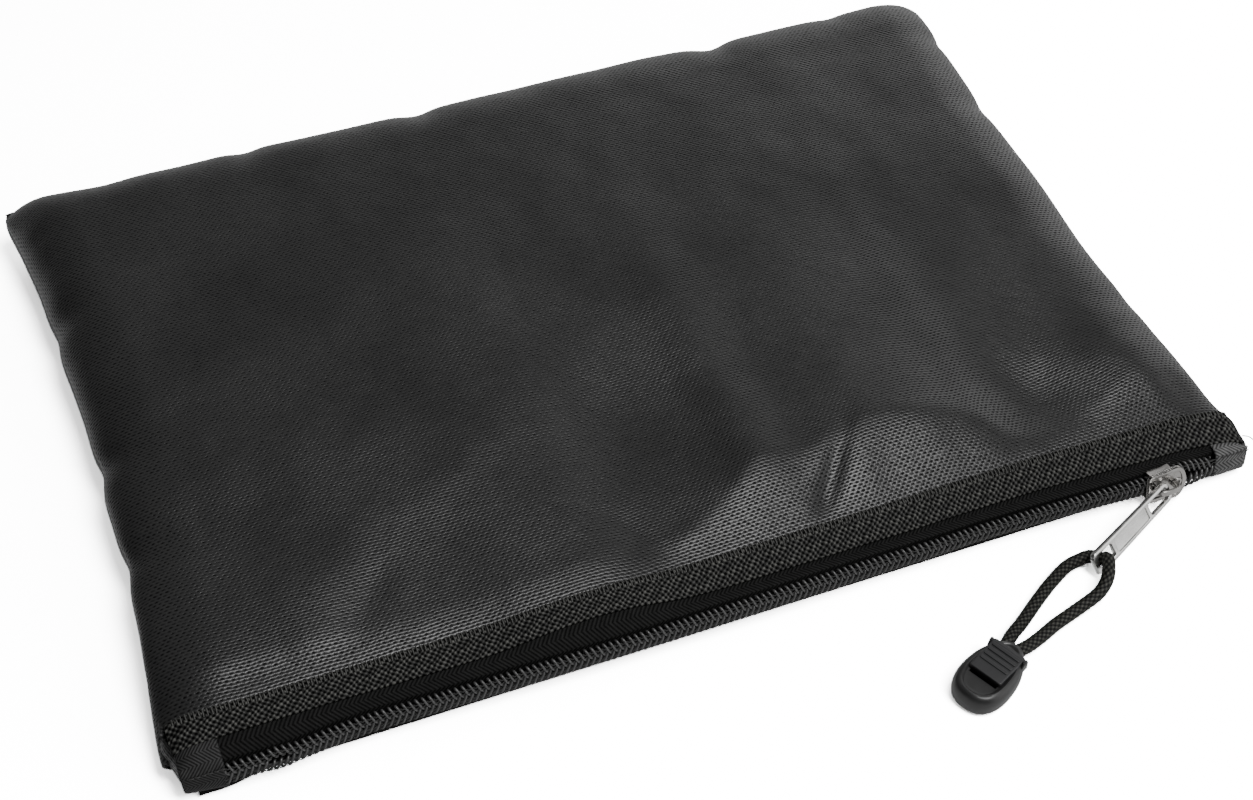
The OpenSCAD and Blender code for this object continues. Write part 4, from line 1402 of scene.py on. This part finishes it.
# --------------------------------------------------------------------------
# cord: one loop through the pull's window, both ends in the cord end
# --------------------------------------------------------------------------
CORD_RADIUS = 1.54
BRAID_DEPTH = 0.20
BRAID_PITCH = 3.3
BRAID_STRANDS = 8
CORD_SIDES = 28
SPLIT_X = 66.0          # where the loop is split into its two pieces
END_ANGLE = math.radians(25.6)
END_X, END_Y = 44.05, -127.2
CORD_PATH = [
    (44.5, -126.9, 2.9), (48.0, -125.2, 2.9), (52.2, -123.9, 2.7), (55.9, -123.0, 2.1),
    (60.0, -121.6, 1.75), (64.4, -119.9, 1.7), (69.2, -118.5, 1.75), (74.0, -117.3, 2.2),
    (78.6, -116.1, 3.3), (82.0, -113.6, 4.6),
    tuple(CORD_JOINT + 0.3 * PULL_WAY + 1.7 * PULL_FACE), tuple(CORD_JOINT + 0.5 * PULL_WAY),
    tuple(CORD_JOINT + 0.3 * PULL_WAY - 1.8 * PULL_FACE),
    (82.3, -105.2, 1.9), (79.4, -105.2, 1.65), (75.6, -106.0, 1.65), (69.8, -108.9, 1.65),
    (63.6, -112.7, 1.65), (58.2, -116.3, 1.75), (53.8, -119.0, 2.3), (51.0, -121.2, 2.8),
    (47.0, -123.2, 2.9), (43.4, -124.8, 2.9)]


def braid(along, angle):
    """Cord's radius, rippled by strands that wind both ways."""
    turn = 2 * math.pi / BRAID_PITCH * along
    half = BRAID_STRANDS * angle / 2
    ripple = 0.5 * (np.abs(np.sin(half + turn)) + np.abs(np.sin(half - turn)))
    return CORD_RADIUS + BRAID_DEPTH * (ripple - 0.5)


def cord():
    path = catmull(CORD_PATH, 16)
    along = lengths(path)
    even = np.linspace(0, along[-1], int(along[-1] / 0.16))
    path = np.stack([np.interp(even, along, path[:, k]) for k in range(3)], axis=-1)
    for _ in range(6):
        path[1:-1] = 0.25 * path[:-2] + 0.5 * path[1:-1] + 0.25 * path[2:]
    verts, _, coords = tube(path, CORD_RADIUS, CORD_SIDES, radius_at=braid)
    angle = (np.arange(CORD_SIDES) * 2 * math.pi / CORD_SIDES)[None, :]
    radii = braid(even[:, None], angle).reshape(-1)
    coords[:, 2] = np.clip((radii - CORD_RADIUS) / BRAID_DEPTH + 0.5, 0, 1)

    def piece(name, spans, blend):
        """One object from spans of rings, each capped."""
        faces, rings, start = [], [], 0
        for first, last in spans:
            count = last - first + 1
            rings.append(np.arange(first * CORD_SIDES, (last + 1) * CORD_SIDES))
            faces += list(grid_faces(count, CORD_SIDES, start, wrap=True))
            cap = start + np.arange(CORD_SIDES)
            faces += [cap, (cap + (count - 1) * CORD_SIDES)[::-1]]
            start += count * CORD_SIDES
        rings = np.concatenate(rings)
        clean(make_mesh(name, verts[rings], faces, coords[rings], CORD, blend[rings]))

    near = int(np.argmin(np.linalg.norm(path - CORD_JOINT, axis=1)))
    first = int(np.argmin(np.abs(path[:near, 0] - SPLIT_X)))
    last = near + int(np.argmin(np.abs(path[near:, 0] - SPLIT_X)))
    # held by the pull's window, free a few millimetres on
    from_window = np.repeat(np.abs(even - even[near]), CORD_SIDES)
    piece("cord_loop_braid_at_pull", [(first, last)], smooth(from_window, 2.2, 10.0))
    # turning with the cord end at its neck
    from_end = ((verts[:, 0] - END_X) * math.cos(END_ANGLE)
                + (verts[:, 1] - END_Y) * math.sin(END_ANGLE))
    piece("cord_loop_braid_strands", [(0, first), (last, len(path) - 1)],
          1 - smooth(from_end, 8.6, 14.5))


cord()

# --------------------------------------------------------------------------
# cord end and its clip: x towards the cord, z up
# --------------------------------------------------------------------------
END_FRAME = axes((math.cos(END_ANGLE), math.sin(END_ANGLE), 0),
                 (-math.sin(END_ANGLE), math.cos(END_ANGLE), 0), (0, 0, 1), (END_X, END_Y, 0))
OUTLINE_POINTS = 72
# Body's outlines from foot to sunk top face: inset, z.
END_LEVELS = [
    (2.2, 0.05), (1.1, 0.10), (0.45, 0.45), (0.12, 1.0), (0.0, 1.9), (0.0, 3.2), (0.15, 4.3),
    (0.55, 5.15), (1.05, 5.65), (1.55, 5.85), (1.95, 5.72), (2.15, 5.45), (2.35, 5.38)]
TOP_LEVELS = [(3.2, 5.36), (4.4, 5.36), (5.6, 5.36)]
# Lug's side outline: x, z.
LUG = [(3.8, 3.0), (4.1, 5.6), (4.5, 6.6), (5.2, 6.9), (5.9, 6.6), (6.4, 5.6), (6.7, 3.0)]
WELL = [(-4.6, -3.65), (6.6, -3.65), (6.6, 3.65), (-4.6, 3.65)]


def end_level(inset, z):
    """Rounded plan of the cord end, narrower towards the cord."""
    points = []
    for i in range(OUTLINE_POINTS):
        angle = 2 * math.pi * i / OUTLINE_POINTS
        cos, sin = math.cos(angle), math.sin(angle)
        x = -0.75 + (10.1 - inset) * np.sign(cos) * abs(cos) ** 0.88
        half = 6.35 - 0.085 * (x + 0.5) - (0.015 * (x - 1) ** 2 if x > 1 else 0.0)
        points.append((x, (half - inset) * np.sign(sin) * abs(sin) ** 0.80, z))
    return np.array(points)


def cord_end():
    count = OUTLINE_POINTS
    verts = np.concatenate([end_level(*level) for level in END_LEVELS + TOP_LEVELS])
    faces = list(grid_faces(len(END_LEVELS), count, wrap=True))
    faces.append(np.arange(count)[::-1])
    ring = (len(END_LEVELS) - 1) * count
    for _ in TOP_LEVELS:
        for i in range(count):
            j = (i + 1) % count
            faces.append([ring + i, ring + j, ring + count + j, ring + count + i])
        ring += count
    faces.append(np.arange(ring, ring + count))
    parts = [(verts, faces)]
    for low, high in ((-4.95, -4.35), (4.35, 4.95)):
        verts, faces = plate([LUG[::-1]], high - low, low, 0.25)
        parts.append((verts[:, [0, 2, 1]], faces))
    verts, faces = join(parts)
    ob = make_mesh("cord_end_body_moulded", to_frame(verts, END_FRAME), faces,
                   material=CORD_END)
    clean(ob)

    # cut the well under the clip and the cord's two entries
    cutters = [("well", plate([WELL], 8.0, 1.6, 0.3))]
    for name, y in (("ent", 1.9), ("ent2", -1.4)):
        verts, faces = plate([arc(y, 2.9, 1.74, 0, 345, 20)], 7.0, 0, 0.05)
        cutters.append((name, (verts[:, [2, 0, 1]] + np.array([5.0, 0, 0]), faces)))
    tools = []
    for name, (verts, faces) in cutters:
        tool = make_mesh(name, to_frame(verts, END_FRAME), faces)
        clean(tool, merge=0.00001)
        tools.append(tool)
    for tool in tools:
        cut = ob.modifiers.new("cut", "BOOLEAN")
        cut.operation = "DIFFERENCE"
        cut.solver = "EXACT"
        cut.object = tool
    bpy.context.view_layer.update()
    graph = bpy.context.evaluated_depsgraph_get()
    mesh = bpy.data.meshes.new_from_object(ob.evaluated_get(graph))
    ob.modifiers.clear()
    ob.data = mesh
    mesh.materials.clear()
    mesh.materials.append(CORD_END)
    for tool in tools:
        bpy.data.objects.remove(tool)
    sharpen(ob, 38)


def clip():
    """Ribbed plate with a block below and a bar across its cord side."""
    parts = [plate([rounded_rect(-3.85, 6.0, 4.22, 0.45, 4)], 1.40, 5.42, 0.24),
             plate([rounded_rect(-3.3, 4.0, 2.9, 0.4, 4)], 1.2, 4.4, 0.15)]
    for i in range(4):
        x = -0.9 + i * 1.55
        parts.append(plate([rounded_rect(x, x + 0.95, 3.75, 0.3, 4)], 0.38, 6.68, 0.16))
    parts.append(crossbar(5.2, 6.3, 4.95, 9, 0.6, 16))
    verts, faces = join(parts)
    ob = make_mesh("cord_end_clip_ribbed", to_frame(verts, END_FRAME), faces, material=CLIP)
    clean(ob, merge=0.00001)
    sharpen(ob, 38)


cord_end()
clip()

# --------------------------------------------------------------------------
# what each piece moves with and replaces, and its colour slot
# --------------------------------------------------------------------------
# Pieces that bend between two bodies: bodies, start, end (m).
BENDS = {
    "mouth": ("bag_base", "bag_top", (0, 0.091, 0), (0, -0.09, 0)),
    "window": ("pull", "cord", tuple(CORD_JOINT * MM),
               tuple((CORD_JOINT + np.array([-10.0, -5.0, 0.0])) * MM)),
    "neck": ("cord", "cord_end", (0.0566, -0.1209, 0.0027), (0.0515, -0.1233, 0.0027))}
# Piece, colour slot, body or bend, replaced CAD piece.
PIECES = [
    ("outer_panel_top_fabric", "panel_fabric", "mouth", "outer_panel_top"),
    ("outer_panel_bottom_fabric", "panel_fabric", "bag_base", "outer_panel_bottom"),
    ("batting_top_felt", "batting_white", "mouth", "batting_top"),
    ("batting_bottom_felt", "batting_white", "bag_base", "batting_bottom"),
    ("lining_top_cloth", "lining_black", "mouth", "lining_top"),
    ("lining_bottom_cloth", "lining_black", "bag_base", "lining_bottom"),
    ("binding_tape_upper_weave", "binding_weave", "mouth", "binding_tape_upper"),
    ("binding_tape_lower_weave", "binding_weave", "bag_base", "binding_tape_lower"),
    ("binding_stitches_upper_thread", "thread_black", "mouth", "binding_stitches_upper"),
    ("binding_stitches_lower_thread", "thread_black", "bag_base", "binding_stitches_lower"),
    ("zipper_tape_upper_cloth", "zipper_tape_black", "mouth", "zipper_tape_upper"),
    ("zipper_tape_lower_cloth", "zipper_tape_black", "bag_base", "zipper_tape_lower"),
    ("coil_upper_helix", "coil_nylon", "mouth", "coil_upper"),
    ("coil_lower_helix", "coil_nylon", "bag_base", "coil_lower"),
    ("coil_cord_upper_core", "thread_black", "mouth", "coil_cord_upper"),
    ("coil_cord_lower_core", "thread_black", "bag_base", "coil_cord_lower"),
    ("coil_stitches_upper", "thread_black", "mouth", None),
    ("coil_stitches_lower", "thread_black", "bag_base", None),
    ("end_tab_left_twill", "tab_dark", "bag_base", "end_tab_left"),
    ("end_tab_right_twill", "tab_grey", "bag_base", "end_tab_right"),
    ("end_tab_stitches_thread", "thread_black", "bag_base", "end_tab_stitches"),
    ("corner_fold_left_cloth", "panel_fabric", "bag_base", None),
    ("corner_fold_right_cloth", "panel_fabric", "bag_base", None),
    ("seam_binding_left_tape", "seam_tape", "bag_base", "seam_binding_left"),
    ("seam_binding_right_tape", "seam_tape", "bag_base", "seam_binding_right"),
    ("seam_binding_back_tape", "seam_tape", "bag_base", "seam_binding_back"),
    ("slider_body_cast", "slider_metal", "slider", "slider_body"),
    ("pull_tab_stamped", "pull_metal", "pull", "pull_tab"),
    ("cord_loop_braid_at_pull", "cord_black", "window", "cord_loop"),
    ("cord_loop_braid_strands", "cord_black", "neck", "cord_loop"),
    ("cord_end_body_moulded", "cord_end_grey", "cord_end", "cord_end_body"),
    ("cord_end_clip_ribbed", "clip_grey", "clip", "cord_end_clip")]


def attach(name, mover, replaced):
    ob = made[name]
    if mover in BENDS:
        first, second, start, end = BENDS[mover]
        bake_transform(ob, first, second, start=start, end=end)
        values = np.asarray(weights[name], dtype=np.float32).ravel()
        ob.data.attributes.get("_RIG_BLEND").data.foreach_set("value", values)
    else:
        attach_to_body(ob, mover)
    if replaced:
        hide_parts(replaced)


# the opening half goes first
for name, _, mover, replaced in sorted(PIECES, key=lambda piece: piece[2] != "mouth"):
    attach(name, mover, replaced)

# --------------------------------------------------------------------------
# stage: pale floor, soft studio light, camera
# --------------------------------------------------------------------------
FLOOR_HALF, FLOOR_Z = 6000, -0.05       # mm
# Soft patches of sky: azimuth from +Y towards +X, elevation and radius in degrees, strength.
SKY_PATCHES = [(52, 4, 49, 1.45), (2, 54, 60, 0.31), (125, 12, 40, 1.8)]
SKY_BASE = 0.056
SKY_SEEN = 9.0          # strength the camera sees
CAMERA_LENS = 57.8162396280             # mm, on a sensor 36 mm wide
CAMERA_PLACE = np.array([-138.27011475, -333.28354661, 376.78681427]) * MM
CAMERA_RIGHT = (0.9280547647710897, -0.3714090827744323, 0.02774250922919752)
CAMERA_UP = (0.2575324046647074, 0.6937466972075894, 0.6726013534488127)
CAMERA_BACK = (-0.2690565259072721, -0.6170662957464264, 0.7394848020889226)


def floor():
    """White to the camera, greyer in what the fabric mirrors."""
    mat = Material("floor_paper")
    seen = mat.add("LightPath", {}).outputs["Is Camera Ray"]
    material = mat.finish(Base_Color=mat.mix(seen, first=rgba(0.75), second=rgba(15.0)),
                          Roughness=1.0, Specular_IOR_Level=0.0)
    corners = [(x * FLOOR_HALF, y * FLOOR_HALF, FLOOR_Z)
               for x, y in ((-1, -1), (1, -1), (1, 1), (-1, 1))]
    make_mesh("floor", corners, [[0, 1, 2, 3]], material=material)


def studio():
    world = bpy.data.worlds.new("studio")
    bpy.context.scene.world = world
    world.use_nodes = True
    sky = Graph(world.node_tree)
    way = sky.place("Generated")
    seen = sky.add("LightPath", {}).outputs["Is Camera Ray"]

    def patch(azimuth, elevation, radius, strength):
        turn, rise = math.radians(azimuth), math.radians(elevation)
        centre = (math.sin(turn) * math.cos(rise), math.cos(turn) * math.cos(rise),
                  math.sin(rise))
        near = sky.add("VectorMath", {0: way, 1: centre}, operation="DOT_PRODUCT")
        return sky.remap(near.outputs["Value"], source=(math.cos(math.radians(radius)), 1.0),
                         target=(0.0, strength), interpolation_type="SMOOTHSTEP")

    first, second, third = [patch(*values) for values in SKY_PATCHES]
    glow = sky.calc("ADD", sky.calc("ADD", first, second), third)
    glow = sky.calc("ADD", glow, SKY_BASE)
    unseen = sky.calc("MULTIPLY", glow, sky.calc("SUBTRACT", 1.0, seen))
    strength = sky.calc("ADD", unseen, sky.calc("MULTIPLY", SKY_SEEN, seen))
    background = sky.add("Background", {0: rgba(1.0), 1: strength})
    sky.add("OutputWorld", {0: background.outputs[0]})


def area_light(name, place, target, width, height, power):
    """Rectangular light aimed at a target; metres and watts."""
    light = bpy.data.lights.new(name, "AREA")
    light.shape = "RECTANGLE"
    light.size = width
    light.size_y = height
    light.energy = power
    ob = bpy.data.objects.new(name, light)
    ob.location = place
    aim = Vector(target) - Vector(place)
    ob.rotation_euler = aim.to_track_quat("-Z", "Y").to_euler()
    bpy.context.scene.collection.objects.link(ob)


def camera():
    data = bpy.data.cameras.new("camera")
    ob = bpy.data.objects.new("camera", data)
    bpy.context.scene.collection.objects.link(ob)
    data.sensor_width = 36.0
    data.sensor_fit = "HORIZONTAL"
    data.lens = CAMERA_LENS
    data.clip_start = 0.01
    data.clip_end = 20
    pose = axes(CAMERA_RIGHT, CAMERA_UP, CAMERA_BACK, CAMERA_PLACE)
    ob.matrix_world = Matrix(pose.tolist())
    bpy.context.scene.camera = ob


floor()
studio()
area_light("key_over", place=(0.20, -0.40, 0.92), target=(0.03, -0.03, 0.0),
           width=0.30, height=0.62, power=10.0)
camera()
